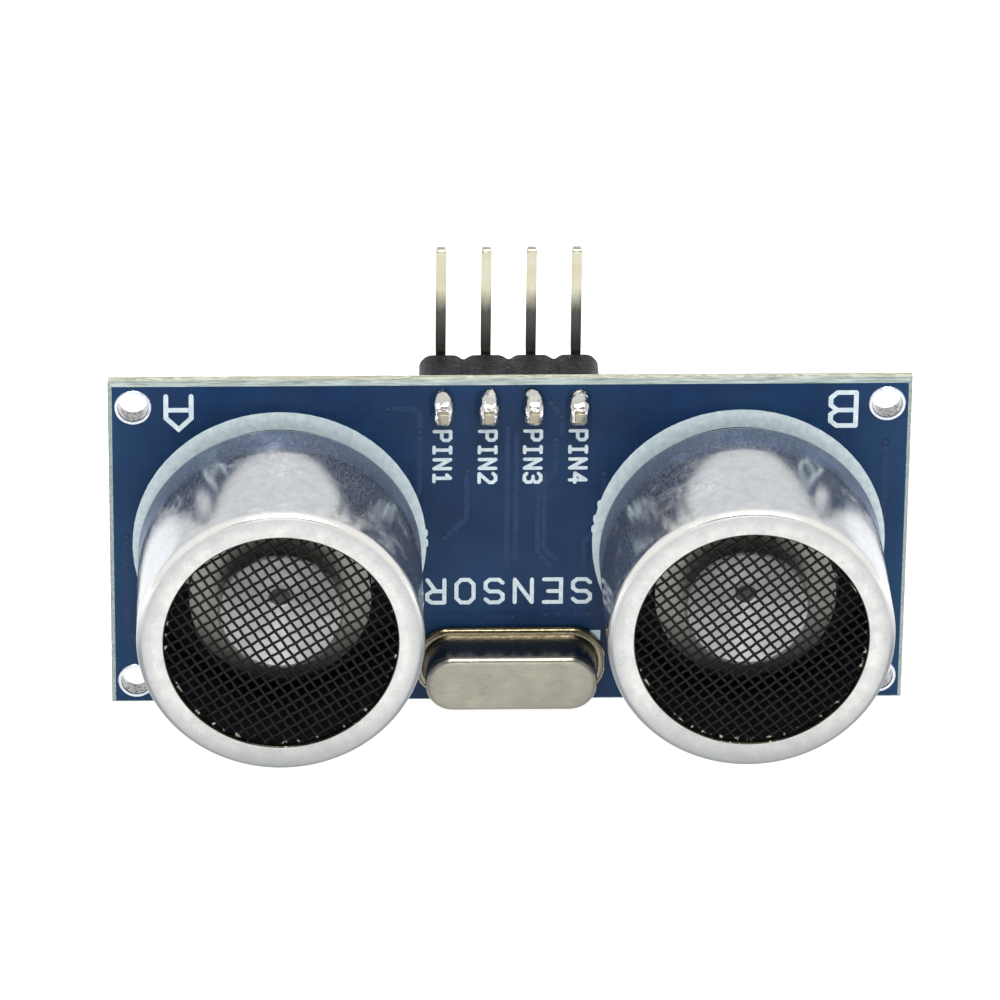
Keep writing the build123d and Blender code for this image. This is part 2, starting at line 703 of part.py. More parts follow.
def make_chip_leads(name, x, z, upright, rows, half_width, reach, width, middle_y):
    """Gull-wing leads on both long sides of a chip; rows gives the offsets on each side."""
    outline = gull_wing(half_width, reach, middle_y)
    with BuildPart() as leads:
        for side, offsets in zip((-1, 1), rows):
            for offset in offsets:
                if upright:
                    origin = (x, 0, z + offset)
                    plane = Plane(origin=origin, x_dir=(side, 0, 0), z_dir=(0, 0, side))
                else:
                    origin = (x + offset, 0, z)
                    plane = Plane(origin=origin, x_dir=(0, 0, side), z_dir=(-side, 0, 0))
                with BuildSketch(plane):
                    with BuildLine():
                        Polyline(*outline, close=True)
                    make_face()
                extrude(amount=width / 2, both=True)
    write_piece(leads, f"{name}_leads")


def make_chip_body(name, x, z, size_x, size_z, thickness, die=None):
    """A moulded resin body with drafted sides, hollowed for its die where it has one."""
    bottom_y = BACK_Y + CHIP_STANDOFF
    middle_y = bottom_y + thickness / 2
    with BuildPart() as body:
        with BuildSketch(facing_back(middle_y, x, z)) as outline:
            Rectangle(size_x, size_z)
        extrude(amount=thickness / 2, taper=CHIP_DRAFT)
        extrude(outline.sketch, amount=-thickness / 2, taper=CHIP_DRAFT)
        if die:
            with BuildSketch(facing_back(middle_y, x, z)):
                Rectangle(die + 2 * CLEARANCE, die + 2 * CLEARANCE)
            extrude(amount=DIE_THICKNESS + CLEARANCE, mode=Mode.SUBTRACT)
            dimple_y = bottom_y + thickness - DIMPLE_DEPTH
            with BuildSketch(facing_back(dimple_y, *pin_one_spot(x, z, size_x, size_z))):
                Circle(DIMPLE_RADIUS)
            extrude(amount=2 * DIMPLE_DEPTH, mode=Mode.SUBTRACT)
    write_piece(body, f"{name}_body")


def pin_one_spot(x, z, size_x, size_z):
    """The centre of the dimple that marks a chip's first lead."""
    side = 1 if size_z > size_x else -1
    return x + side * (size_x / 2 - DIMPLE_INSET), z + size_z / 2 - DIMPLE_INSET


def make_die(name, x, z, size):
    """The silicon die inside a chip."""
    middle_y = BACK_Y + CHIP_STANDOFF + CHIP_BODY_THICKNESS / 2
    with BuildPart() as die:
        with BuildSketch(facing_back(middle_y, x, z)):
            Rectangle(size, size)
        extrude(amount=DIE_THICKNESS)
    write_piece(die, f"{name}_die")


def make_chip(name):
    """One small-outline chip: body, die and leads."""
    x, z, count, upright, die = CHIPS[name]
    length = (count - 1) * CHIP_LEAD_PITCH + 2 * CHIP_END_MARGIN
    size_x, size_z = (CHIP_BODY_WIDTH, length) if upright else (length, CHIP_BODY_WIDTH)
    middle_y = BACK_Y + CHIP_STANDOFF + CHIP_BODY_THICKNESS / 2
    rows = (lead_offsets(count), lead_offsets(count))
    make_chip_body(name, x, z, size_x, size_z, CHIP_BODY_THICKNESS, die)
    make_die(name, x, z, die)
    make_chip_leads(
        name, x, z, upright, rows, CHIP_BODY_WIDTH / 2, CHIP_LEAD_REACH, CHIP_LEAD_WIDTH, middle_y
    )


def make_transistor():
    """The small three-lead transistor that switches the driver's supply."""
    name = "transistor"
    x, z = TRANSISTOR_X, TRANSISTOR_Z
    middle_y = BACK_Y + CHIP_STANDOFF + TRANSISTOR_THICKNESS / 2
    rows = ([-TRANSISTOR_LEAD_OFFSET, TRANSISTOR_LEAD_OFFSET], [0.0])
    half_width = TRANSISTOR_WIDTH / 2
    make_chip_body(name, x, z, TRANSISTOR_WIDTH, TRANSISTOR_LENGTH, TRANSISTOR_THICKNESS)
    make_chip_leads(
        name, x, z, True, rows, half_width, 2 * half_width, CHIP_LEAD_WIDTH, middle_y
    )


# ---------------------------------------------------------------- chip resistors and capacitors


def chip_part_spots():
    """Centres and directions, (x, z, upright), of the resistors and of the capacitors."""
    resistors = []
    capacitors = []
    for centre in TRANSDUCER_CENTRES.values():
        for i in range(3):
            resistors.append((centre + (i - 1.5) * 2.8, -CHIP_ROW_Z, False))
            capacitors.append((centre + (i - 1) * 3.4, CHIP_ROW_Z, False))
        resistors.append((centre + CHIP_COLUMN_X, 0.6 - CHIP_ROW_Z, True))
        resistors.append((centre + CHIP_COLUMN_X, MIDDLE_PART_Z, True))
        capacitors.append((centre - CHIP_COLUMN_X, MIDDLE_PART_Z, True))
    resistors.append((-MIDDLE_PART_X, TRANSISTOR_Z - 0.6, True))
    resistors.append((-MIDDLE_PART_X, -MIDDLE_PART_Z, True))
    capacitors.append((MIDDLE_PART_X, -MIDDLE_PART_Z, True))
    capacitors.append((0.0, -4.1, False))
    return resistors, capacitors


def make_chip_parts(name, spots, thickness):
    """Every chip part of one kind: the bodies in one node and the metal end caps in another."""
    bottom_y = BACK_Y + PAD_HEIGHT
    body_length = CHIP_PART_LENGTH - 2 * END_CAP_LENGTH
    cap_offset = (CHIP_PART_LENGTH - END_CAP_LENGTH) / 2
    with BuildPart() as bodies:
        with BuildSketch(facing_back(bottom_y + CHIP_BODY_INSET)):
            for x, z, upright in spots:
                with Locations(Location((x, -z), 90 if upright else 0)):
                    Rectangle(body_length, CHIP_PART_WIDTH - 2 * CHIP_BODY_INSET)
        extrude(amount=thickness - 2 * CHIP_BODY_INSET)
    write_piece(bodies, f"{name}_bodies")
    with BuildPart() as caps:
        with BuildSketch(facing_back(bottom_y)):
            for x, z, upright in spots:
                with Locations(Location((x, -z), 90 if upright else 0)):
                    with Locations((-cap_offset, 0), (cap_offset, 0)):
                        Rectangle(END_CAP_LENGTH, CHIP_PART_WIDTH)
        extrude(amount=thickness)
    write_piece(caps, f"{name}_end_caps")


def make_surface_mount_solder(spots):
    """The tinned pad under every chip part's end cap and every gull-wing lead's foot."""
    cap_pad_offset = CHIP_PART_LENGTH / 2 + CAP_PAD_REACH - CAP_PAD_LENGTH / 2
    foot_width = CHIP_LEAD_WIDTH + PAD_MARGIN
    with BuildPart() as solder:
        with BuildSketch(facing_back(BACK_Y)):
            for x, z, upright in spots:
                with Locations(Location((x, -z), 90 if upright else 0)):
                    with Locations((-cap_pad_offset, 0), (cap_pad_offset, 0)):
                        Rectangle(CAP_PAD_LENGTH, CHIP_PART_WIDTH + PAD_MARGIN)
            for x, z, count, upright, _ in CHIPS.values():
                for side in (-1, 1):
                    for offset in lead_offsets(count):
                        reach = side * (CHIP_LEAD_REACH - 0.25)
                        spot = (x + reach, z + offset) if upright else (x + offset, z + reach)
                        with Locations(Location((spot[0], -spot[1]), 0 if upright else 90)):
                            Rectangle(FOOT_PAD_LENGTH, foot_width)
            reach = TRANSISTOR_WIDTH - 0.2
            offset = TRANSISTOR_LEAD_OFFSET
            for dx, dz in ((-reach, -offset), (-reach, offset), (reach, 0.0)):
                with Locations((TRANSISTOR_X + dx, -TRANSISTOR_Z - dz)):
                    Rectangle(FOOT_PAD_LENGTH * 0.8, foot_width)
        extrude(amount=PAD_HEIGHT)
    write_piece(solder, "surface_mount_solder")


# ---------------------------------------------------------------- build everything

make_board()
make_corner_hole_plating()
make_header_body()
for pin_name, pin_x in zip(PIN_NAMES, PIN_XS):
    make_header_pin(pin_name, pin_x)
make_header_solder_joints()

for transducer, centre_x in TRANSDUCER_CENTRES.items():
    make_can(transducer, centre_x)
    make_screen(transducer, centre_x)
    make_base(transducer, centre_x)
    make_silicone_ring(transducer, centre_x)
    make_disc(transducer, "vibration_disc", centre_x, DISC_RADIUS, DISC_FRONT_Y, DISC_THICKNESS)
    piezo_front = DISC_FRONT_Y + DISC_THICKNESS
    make_disc(transducer, "piezo_disc", centre_x, PIEZO_RADIUS, piezo_front, PIEZO_THICKNESS)
    make_cone(transducer, centre_x)
    make_cone_adhesive(transducer, centre_x)
    make_terminals(transducer, centre_x)
    make_lead_wires(transducer, centre_x)
make_round_solder_joints(
    "transducer_solder_joints", [(x, 0.0) for x in TERMINAL_XS], TERMINAL_RADIUS, 0.95, 0.85
)

make_crystal_cover()
make_crystal_base()
make_crystal_glass_seals()
make_crystal_leads()
make_quartz_blank()
make_crystal_clips()
make_round_solder_joints(
    "crystal_solder_joints",
    [(x, CRYSTAL_Z) for x in CRYSTAL_LEAD_XS],
    CRYSTAL_LEAD_RADIUS,
    0.75,
    0.75,
)

for chip_name in CHIPS:
    make_chip(chip_name)
make_transistor()
resistor_spots, capacitor_spots = chip_part_spots()
make_chip_parts("resistor", resistor_spots, RESISTOR_THICKNESS)
make_chip_parts("capacitor", capacitor_spots, CAPACITOR_THICKNESS)
make_surface_mount_solder(resistor_spots + capacitor_spots)
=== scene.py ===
import math
import random

import bmesh
import bpy
from mathutils import Matrix, Vector, noise


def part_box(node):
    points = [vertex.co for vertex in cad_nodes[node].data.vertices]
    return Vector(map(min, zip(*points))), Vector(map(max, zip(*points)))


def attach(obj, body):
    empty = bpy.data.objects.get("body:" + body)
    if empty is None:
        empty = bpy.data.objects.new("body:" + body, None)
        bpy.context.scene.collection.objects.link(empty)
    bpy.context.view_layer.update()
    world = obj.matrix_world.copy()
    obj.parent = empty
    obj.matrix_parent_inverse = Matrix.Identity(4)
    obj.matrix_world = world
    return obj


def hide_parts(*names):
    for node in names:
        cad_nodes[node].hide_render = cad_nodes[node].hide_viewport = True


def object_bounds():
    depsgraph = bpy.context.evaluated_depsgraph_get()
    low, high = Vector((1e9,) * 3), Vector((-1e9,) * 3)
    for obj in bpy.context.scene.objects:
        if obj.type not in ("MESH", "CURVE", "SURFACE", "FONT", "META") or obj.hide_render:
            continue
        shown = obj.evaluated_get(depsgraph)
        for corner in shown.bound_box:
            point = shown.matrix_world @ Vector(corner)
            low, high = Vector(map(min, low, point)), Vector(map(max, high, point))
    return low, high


# Looks of the ultrasonic distance sensor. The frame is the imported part's: X along the board,
# Z up the header pins, -Y the way the transducers face. Blender works in metres, and the
# sizes below are in millimetres, so they are multiplied by MM where a mesh is written.

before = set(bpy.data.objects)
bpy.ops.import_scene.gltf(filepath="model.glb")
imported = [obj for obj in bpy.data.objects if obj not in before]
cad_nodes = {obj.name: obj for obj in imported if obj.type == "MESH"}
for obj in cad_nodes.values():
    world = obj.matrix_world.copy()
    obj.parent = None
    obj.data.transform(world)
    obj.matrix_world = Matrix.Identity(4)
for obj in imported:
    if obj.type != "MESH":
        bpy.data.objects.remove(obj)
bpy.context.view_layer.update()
MM = 0.001

TRANSDUCERS = ("receiver", "transmitter")
PINS = ("pin_ground", "pin_echo", "pin_trigger", "pin_supply")
CHIPS = ("transmitter_driver_chip", "echo_amplifier_chip", "controller_chip")


# ---------------------------------------------------------------- places read from the frame


def box_mm(node):
    """A node's lowest and highest corners in millimetres."""
    low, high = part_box(node)
    return low / MM, high / MM


def centre_mm(node):
    """The centre of a node's box in millimetres."""
    low, high = box_mm(node)
    return (low + high) / 2


def merged_mesh(node):
    """A working copy of a node's mesh with its doubled vertices joined."""
    work = bmesh.new()
    work.from_mesh(cad_nodes[node].data)
    bmesh.ops.remove_doubles(work, verts=work.verts, dist=0.0005 * MM)
    return work


def island_boxes(node):
    """The box, in millimetres, of each separate solid in a node."""
    work = merged_mesh(node)
    waiting = set(work.verts)
    boxes = []
    while waiting:
        reached = [waiting.pop()]
        low = reached[0].co.copy()
        high = reached[0].co.copy()
        while reached:
            vert = reached.pop()
            low = Vector(map(min, low, vert.co))
            high = Vector(map(max, high, vert.co))
            for edge in vert.link_edges:
                other = edge.other_vert(vert)
                if other in waiting:
                    waiting.remove(other)
                    reached.append(other)
        boxes.append((low / MM, high / MM))
    work.free()
    return sorted(boxes, key=lambda box: tuple(round(value, 3) for value in box[0]))


def leads(part):
    """A part's leads: each one's corners, the axis it points out along (0 or 2) and its side."""
    low, high = box_mm(f"{part}_body")
    middle = (low + high) / 2
    axis = 0 if high.z - low.z > high.x - low.x else 2
    for low, high in island_boxes(f"{part}_leads"):
        yield low, high, axis, 1 if ((low + high) / 2)[axis] > middle[axis] else -1


def in_x_z(axis, out, along):
    """An (x, z) pair from its share out along the axis and its share square to that."""
    return (out, along) if axis == 0 else (along, out)


BOARD_LOW, BOARD_HIGH = box_mm("board")
FRONT_Y = BOARD_LOW.y
BACK_Y = BOARD_HIGH.y
TRANSDUCER_X = abs(centre_mm("receiver_can").x)
CAN_BACK_Y = box_mm("receiver_can")[1].y
OPENING_RADIUS = 6.42       # of each can's front


# ---------------------------------------------------------------- materials


def linear(colour):
    """A colour given as it looks on a screen, 0 to 255, as the linear colour of a shader."""
    shares = [value / 255 for value in colour]
    return (*(s / 12.92 if s <= 0.04045 else ((s + 0.055) / 1.055) ** 2.4 for s in shares), 1.0)


def add_node(tree, kind, output, inputs, **settings):
    """A new shader node; its inputs are numbers, vectors or other nodes' outputs."""
    node = tree.nodes.new(f"ShaderNode{kind}")
    for setting, value in settings.items():
        setattr(node, setting, value)
    for socket, value in inputs.items():
        if isinstance(value, bpy.types.NodeSocket):
            tree.links.new(value, node.inputs[socket])
        else:
            node.inputs[socket].default_value = value
    return node.outputs[output]


class Look:
    """A procedural material: one principled shader and the texture nodes that feed it.

    Colours are screen values from 0 to 255, and lengths are millimetres.
    """

    def __init__(self, name, colour, roughness, metallic=0.0, **sockets):
        self.material = bpy.data.materials.new(name)
        self.material.use_nodes = True
        self.tree = self.material.node_tree
        self.shader = self.tree.nodes["Principled BSDF"]
        self.shader.inputs["Base Color"].default_value = linear(colour)
        self.shader.inputs["Roughness"].default_value = roughness
        self.shader.inputs["Metallic"].default_value = metallic
        for socket, value in sockets.items():
            self.shader.inputs[socket.replace("_", " ")].default_value = value
        self.height = None
        place = add_node(self.tree, "TexCoord", "Object", {})
        self.place = self.node("VectorMath", 0, {0: place, "Scale": 1 / MM}, operation="SCALE")

    def node(self, kind, output, inputs, **settings):
        """One node of this material."""
        return add_node(self.tree, kind, output, inputs, **settings)

    def stretched(self, stretch):
        """The place in millimetres, squeezed by a factor along each axis."""
        return self.node("VectorMath", 0, {0: self.place, 1: stretch}, operation="MULTIPLY")

    def noise(self, scale, detail=4.0, roughness=0.55, stretch=(1, 1, 1)):
        """Soft noise, 0 to 1, with this many features to a millimetre."""
        inputs = {"Scale": scale, "Detail": detail, "Roughness": roughness}
        return self.node("TexNoise", "Fac", {"Vector": self.stretched(stretch), **inputs})

    def cells(self, scale, stretch=(1, 1, 1)):
        """Distance to the nearest of many scattered points."""
        inputs = {"Vector": self.stretched(stretch), "Scale": scale}
        return self.node("TexVoronoi", "Distance", inputs)

    def waves(self, scale, direction, distortion):
        """Straight ripples along one axis, with this many to a millimetre."""
        inputs = {"Vector": self.place, "Scale": scale, "Distortion": distortion}
        return self.node("TexWave", "Fac", inputs, bands_direction=direction)

    def axis(self, letter):
        """One coordinate of the place, in millimetres."""
        return self.node("SeparateXYZ", letter, {0: self.place})

    def facing(self, letter):
        """One coordinate of the surface's own direction."""
        return self.node("SeparateXYZ", letter, {0: self.node("NewGeometry", "Normal", {})})

    def from_can_axis(self):
        """Distance, in millimetres, from the centre line of the nearer transducer."""
        aside = self.math("SUBTRACT", self.math("ABSOLUTE", self.axis("X")), TRANSDUCER_X)
        rise = self.axis("Z")
        squares = [self.math("MULTIPLY", reach, reach) for reach in (aside, rise)]
        return self.math("SQRT", self.math("ADD", *squares))

    def math(self, operation, first, second=0.0):
        """One arithmetic step on outputs or numbers."""
        return self.node("Math", 0, {0: first, 1: second}, operation=operation)

    def ramp(self, value, start, end, low=0.0, high=1.0):
        """Value between start and end, stretched to run from low to high and held beyond."""
        limits = {"From Min": start, "From Max": end, "To Min": low, "To Max": high}
        return self.node("MapRange", "Result", {"Value": value, **limits})

    def mix(self, share, first, second):
        """A colour between first and second."""
        first, second = (linear(end) if isinstance(end, tuple) else end for end in (first, second))
        return self.node("Mix", 2, {0: share, 6: first, 7: second}, data_type="RGBA")

    def tint(self, value, start, end, first, second, most=1.0):
        """The first colour, turning to the second as value runs from start to end."""
        return self.mix(self.ramp(value, start, end, 0.0, most), first, second)

    def blend(self, share, first, second):
        """A number between first and second."""
        return self.node("Mix", 0, {0: share, 2: first, 3: second})

    def feed(self, socket, value):
        """Let a texture drive one input of the shader."""
        self.tree.links.new(value, self.shader.inputs[socket])

    def paint(self, colour):
        """Let a texture drive the colour."""
        self.feed("Base Color", colour)

    def rough(self, value, start, end, low, high):
        """Roughness that runs from low to high as value runs from start to end."""
        self.feed("Roughness", self.ramp(value, start, end, low, high))

    def bump(self, height, depth, strength=1.0):
        """Raise the surface by height times depth, in millimetres, on top of earlier bumps."""
        inputs = {"Height": height, "Distance": depth * MM, "Strength": strength}
        if self.height is not None:
            inputs["Normal"] = self.height
        self.height = self.node("Bump", "Normal", inputs)
        self.feed("Normal", self.height)


def board_look():
    """Blue solder mask on both faces, bare laminate on the cut edges and in the holes."""
    look = Look("solder_mask_board", (24, 52, 90), 0.33, Specular_IOR_Level=0.16)
    cloud = look.noise(0.22, 3.0)
    fine = look.noise(2.2, 5.0)
    blue = look.tint(cloud, 0.35, 0.68, (12, 36, 67), (20, 49, 82))
    edge = look.math("ABSOLUTE", look.axis("X"))
    blue = look.tint(edge, 19.0, 22.5, blue, (15, 57, 91), 0.5)
    high = look.ramp(look.axis("Z"), 7.6, 9.6)
    top_band = look.math("MULTIPLY", high, look.ramp(cloud, 0.3, 0.7))
    blue = look.mix(look.math("MULTIPLY", top_band, 0.6), blue, (5, 42, 82))
    bare = look.mix(look.noise(3.0, 4.0, stretch=(0.4, 2.5, 0.4)), (150, 156, 140),
                    (206, 206, 190))
    flat = look.ramp(look.math("ABSOLUTE", look.facing("Y")), 0.55, 0.75)
    look.paint(look.mix(flat, bare, blue))
    look.rough(fine, 0.3, 0.75, 0.26, 0.42)
    look.bump(look.waves(0.55, "X", 0.6), 0.004)
    look.bump(look.waves(0.55, "Z", 0.6), 0.004)
    look.bump(fine, 0.008)
    return look.material


def laminate_look():
    """The torn glass-fibre edge: layered, dry and pale, darker where the V-score cut it."""
    look = Look("torn_laminate", (200, 200, 180), 0.8, Specular_IOR_Level=0.25)
    layers = look.noise(1.6, 6.0, 0.7, stretch=(0.35, 5.0, 5.0))
    speck = look.noise(7.0, 3.0, 0.6)
    web = look.tint(layers, 0.36, 0.64, (128, 128, 110), (200, 199, 184))
    cut = look.tint(layers, 0.36, 0.64, (108, 121, 117), (168, 179, 176))
    depth = look.axis("Y")
    colour = look.tint(depth, 0.3, 0.42, cut, web)
    colour = look.tint(speck, 0.62, 0.72, colour, (112, 112, 98), 0.6)
    look.paint(colour)
    look.bump(layers, 0.06)
    look.bump(speck, 0.03)
    return look.material


def covered_copper_look(name, colour, bright):
    """Solder mask over copper: another shade of the board's blue."""
    look = Look(name, colour, 0.3, Specular_IOR_Level=0.22)
    grain = look.noise(3.0, 4.0)
    look.paint(look.tint(grain, 0.35, 0.7, colour, bright))
    look.rough(grain, 0.3, 0.7, 0.24, 0.4)
    look.bump(grain, 0.006)
    return look.material


def ink_look():
    """Printed legend ink: off-white, thin enough for the blue to tint it, slightly chalky."""
    look = Look("legend_ink", (205, 216, 220), 0.55, Specular_IOR_Level=0.3)
    cover = look.noise(2.6, 5.0, 0.65)
    pits = look.cells(5.0)
    colour = look.tint(cover, 0.3, 0.66, (168, 185, 198), (201, 211, 210))
    colour = look.mix(look.ramp(pits, 0.0, 0.1, 0.5, 0.0), colour, (120, 146, 172))
    look.paint(colour)
    look.bump(cover, 0.012)
    return look.material


def can_look():
    """Drawn aluminium: a mirror-like side dulled by handling, a satin front and a dark lip."""
    look = Look("drawn_aluminium", (204, 204, 204), 0.14, metallic=0.9,
                Specular_Tint=linear((228, 230, 232)))
    draw_lines = look.noise(5.0, 4.0, 0.6, stretch=(1.0, 0.06, 1.0))
    smudge = look.noise(0.34, 7.0, 0.66)
    ridges = look.noise(3.6, 3.0, 0.6, stretch=(1.0, 0.7, 1.0))
    grain = look.noise(7.0, 5.0, 0.75)
    mottle = look.noise(1.3, 5.0, 0.65)
    radius = look.from_can_axis()
    forward = look.math("MULTIPLY", look.facing("Y"), -1.0)
    face = look.ramp(forward, 0.86, 0.97)

    # roughness: the satin face, and a side that gets rougher near the board
    side_rough = look.ramp(smudge, 0.46, 0.72, 0.09, 0.26)
    side_rough = look.math("ADD", side_rough, look.ramp(draw_lines, 0.35, 0.7, 0.0, 0.05))
    face_rough = look.ramp(grain, 0.3, 0.7, 0.42, 0.6)
    near_board = look.ramp(look.axis("Y"), CAN_BACK_Y - 3.0, CAN_BACK_Y - 2.0)
    side_rough = look.math("ADD", side_rough, look.math("MULTIPLY", near_board, 0.26))
    look.feed("Roughness", look.blend(face, side_rough, face_rough))

    # the side: greasy smudges, then duller mottles, then a painted blue reflection of the board near
    # the board, flecked by the grain
    greasy = look.math("MULTIPLY", look.ramp(smudge, 0.52, 0.72), look.ramp(ridges, 0.35, 0.65))
    side = look.mix(look.math("MULTIPLY", greasy, 0.6), (213, 215, 217), (242, 243, 244))
    side = look.tint(mottle, 0.42, 0.62, side, (184, 188, 194), 0.4)
    side = look.tint(grain, 0.52, 0.68, side, (158, 162, 168), 0.3)
    # painted reflection: the side near the board takes the board's blue, with paler specks from the
    # grain
    board_reflection_and_specks = look.tint(grain, 0.5, 0.62, (146, 162, 190), (208, 216, 228))
    side = look.mix(near_board, side, board_reflection_and_specks)
    # painted highlight: a pale line along the can's rear edge
    rear_edge_highlight = look.ramp(look.axis("Y"), CAN_BACK_Y - 0.16, CAN_BACK_Y - 0.1)
    side = look.mix(rear_edge_highlight, side, (226, 228, 230))
    # painted shade and highlight: the rolled front edge is dark where it faces down and pale where it
    # faces up
    rolled = look.tint(look.facing("Z"), -0.05, 0.35, (128, 131, 135), (236, 235, 231))
    side = look.tint(forward, 0.12, 0.5, side, rolled)

    # the front: painted shade towards its outer edge and towards its foot, with dark specks on the
    # lip
    front = look.tint(mottle, 0.3, 0.7, (186, 187, 185), (212, 212, 209))
    front = look.tint(grain, 0.55, 0.7, front, (160, 162, 162), 0.4)
    # painted shade: the face darkens towards its outer edge
    front = look.tint(radius, 6.95, 7.75, front, (162, 164, 165), 0.85)
    # painted shade: the face darkens towards its foot
    front = look.mix(look.ramp(look.axis("Z"), -7.6, -3.5, 0.6, 0.0), front, (132, 134, 134))
    lip = look.tint(grain, 0.6, 0.66, (34, 33, 27), (150, 146, 112))
    in_opening = look.ramp(radius, OPENING_RADIUS + 0.06, OPENING_RADIUS + 0.11, 1.0, 0.0)
    look.paint(look.mix(in_opening, look.mix(face, side, front), lip))

    scratches = look.noise(8.0, 3.0, 0.6, stretch=(1.3, 0.4, 1.3))
    haze = look.ramp(scratches, 0.4, 0.65, 0.03, 0.16)
    haze = look.math("ADD", haze, look.math("MULTIPLY", greasy, 0.35))
    look.feed("Metallic", look.math("SUBTRACT", 1.0, haze))
    look.bump(draw_lines, 0.0025)
    look.bump(grain, 0.005, 0.6)
    return look.material


def wire_look():
    """Blackened wire, rubbed a little on its crowns, with painted glints where it meets the lip."""
    look = Look("blackened_wire", (18, 19, 19), 0.5, Specular_IOR_Level=0.16)
    rub = look.noise(4.0, 4.0, 0.6)
    near_lip = look.ramp(look.from_can_axis(), OPENING_RADIUS - 0.16, OPENING_RADIUS - 0.06)
    # painted glints: pale flecks on the wires just inside the can's lip
    painted_lip_glints = look.math("MULTIPLY", near_lip, look.ramp(look.noise(2.3, 2.0), 0.56, 0.62))
    black = look.tint(rub, 0.5, 0.75, (10, 11, 11), (26, 28, 28))
    look.paint(look.mix(painted_lip_glints, black, (170, 168, 150)))
    look.rough(rub, 0.3, 0.7, 0.45, 0.65)
    look.bump(look.noise(16.0, 3.0), 0.006)
    return look.material


def satin_metal_look(name, dark, light, rough_low, rough_high, depth=0.006):
    """A plain metal with a fine, slightly cloudy finish."""
    look = Look(name, light, rough_low, metallic=1.0)
    cloud = look.noise(1.1, 5.0, 0.6)
    grain = look.noise(11.0, 4.0, 0.6)
    look.paint(look.tint(cloud, 0.3, 0.7, dark, light))
    look.rough(grain, 0.3, 0.7, rough_low, rough_high)
    look.bump(grain, depth)
    return look.material


def disc_look():
    """The vibration disc: plain aluminium with a painted shadow that darkens it towards its lower
    edge.
    """
    look = Look("disc_aluminium", (180, 178, 170), 0.34, metallic=1.0)
    cloud = look.noise(1.1, 5.0, 0.6)
    colour = look.tint(cloud, 0.3, 0.7, (166, 164, 156), (188, 186, 178))
    # painted shadow on the lower part of the disc
    lower = look.ramp(look.axis("Z"), -4.6, -1.4, 0.9, 0.0)
    look.paint(look.mix(lower, colour, (62, 61, 58)))
    look.rough(cloud, 0.3, 0.7, 0.32, 0.4)
    look.bump(look.noise(6.0, 3.0), 0.0015)
    return look.material


def cone_look():
    """The cone: pale spun aluminium with painted shade on its cut rim."""
    look = Look("cone_aluminium", (246, 246, 244), 0.4, metallic=1.0)
    cloud = look.noise(1.1, 5.0, 0.6)
    grain = look.noise(11.0, 4.0, 0.6)
    colour = look.tint(cloud, 0.3, 0.7, (240, 240, 238), (252, 252, 250))
    # painted shade: the cut rim is darkened
    rim = look.ramp(look.from_can_axis(), 3.3, 3.38, 0.0, 0.9)
    look.paint(look.mix(rim, colour, (96, 95, 91)))
    look.rough(grain, 0.3, 0.7, 0.36, 0.48)
    look.bump(grain, 0.004)
    return look.material


def pad_look():
    """Tinned pads: bright and smooth on the faces, darker and pitted inside the barrels."""
    look = Look("tinned_pads", (208, 212, 218), 0.2, metallic=1.0)
    wash = look.noise(2.4, 4.0, 0.6)
    pits = look.noise(4.5, 3.0, 0.6)
    flat = look.ramp(look.math("ABSOLUTE", look.facing("Y")), 0.3, 0.7)
    face = look.tint(wash, 0.3, 0.7, (196, 202, 212), (222, 226, 232))
    barrel = look.tint(pits, 0.5, 0.62, (176, 176, 178), (84, 82, 80))
    look.paint(look.mix(flat, barrel, face))
    look.rough(wash, 0.3, 0.7, 0.16, 0.36)
    look.bump(wash, 0.05)
    return look.material


def crystal_look():
    """Nickel-plated cover: satin face, brighter rolled side, a few handling marks."""
    look = Look("nickel_cover", (200, 195, 186), 0.3, metallic=1.0)
    cloud = look.noise(0.8, 5.0, 0.6)
    grain = look.noise(12.0, 4.0, 0.65, stretch=(0.35, 1.0, 1.0))
    marks = look.noise(2.4, 6.0, 0.75, stretch=(0.5, 1.0, 1.6))
    face = look.ramp(look.math("MULTIPLY", look.facing("Y"), -1.0), 0.8, 0.97)
    colour = look.tint(cloud, 0.3, 0.7, (136, 135, 124), (154, 151, 138))
    colour = look.tint(marks, 0.56, 0.7, colour, (112, 112, 104), 0.6)
    back_y = box_mm("crystal_cover")[1].y
    foot = look.ramp(look.axis("Y"), back_y - 1.0, back_y - 0.6)
    streaks = look.noise(3.0, 3.0, stretch=(1.0, 5.0, 5.0))
    brown = look.tint(streaks, 0.35, 0.65, (104, 90, 62), (168, 156, 126))
    wall = look.mix(foot, (124, 120, 110), brown)
    look.paint(look.mix(face, wall, colour))
    worn = look.ramp(marks, 0.5, 0.8, 0.0, 0.1)
    look.feed("Roughness", look.math("ADD", look.ramp(face, 0.0, 1.0, 0.19, 0.32), worn))
    look.bump(grain, 0.004)
    return look.material


def solder_look(name, flux_share):
    """Bright solder, wrinkled where it froze, with brown flux left in places."""
    look = Look(name, (206, 206, 202), 0.12, metallic=1.0)
    wrinkle = look.noise(1.7, 2.5, 0.5)
    flux = look.noise(1.3, 4.0, 0.6)
    stained = look.ramp(flux, 0.62 - flux_share, 0.72 - flux_share, 0.0, 0.75)
    look.paint(look.mix(stained, (208, 208, 204), (132, 108, 72)))
    look.rough(wrinkle, 0.35, 0.7, 0.06, 0.2)
    look.bump(wrinkle, 0.13)
    look.bump(look.noise(9.0, 3.0), 0.008)
    return look.material


def moulding_look(name, dark, light, rough_low, rough_high, grain_size, depth):
    """Moulded plastic or resin with a fine grain and rubbed patches."""
    look = Look(name, dark, rough_low, Specular_IOR_Level=0.42)
    rub = look.noise(0.9, 6.0, 0.65)
    grain = look.noise(grain_size, 3.0, 0.6)
    look.paint(look.tint(rub, 0.42, 0.74, dark, light))
    look.rough(rub, 0.3, 0.7, rough_low, rough_high)
    look.bump(grain, depth)
    return look.material


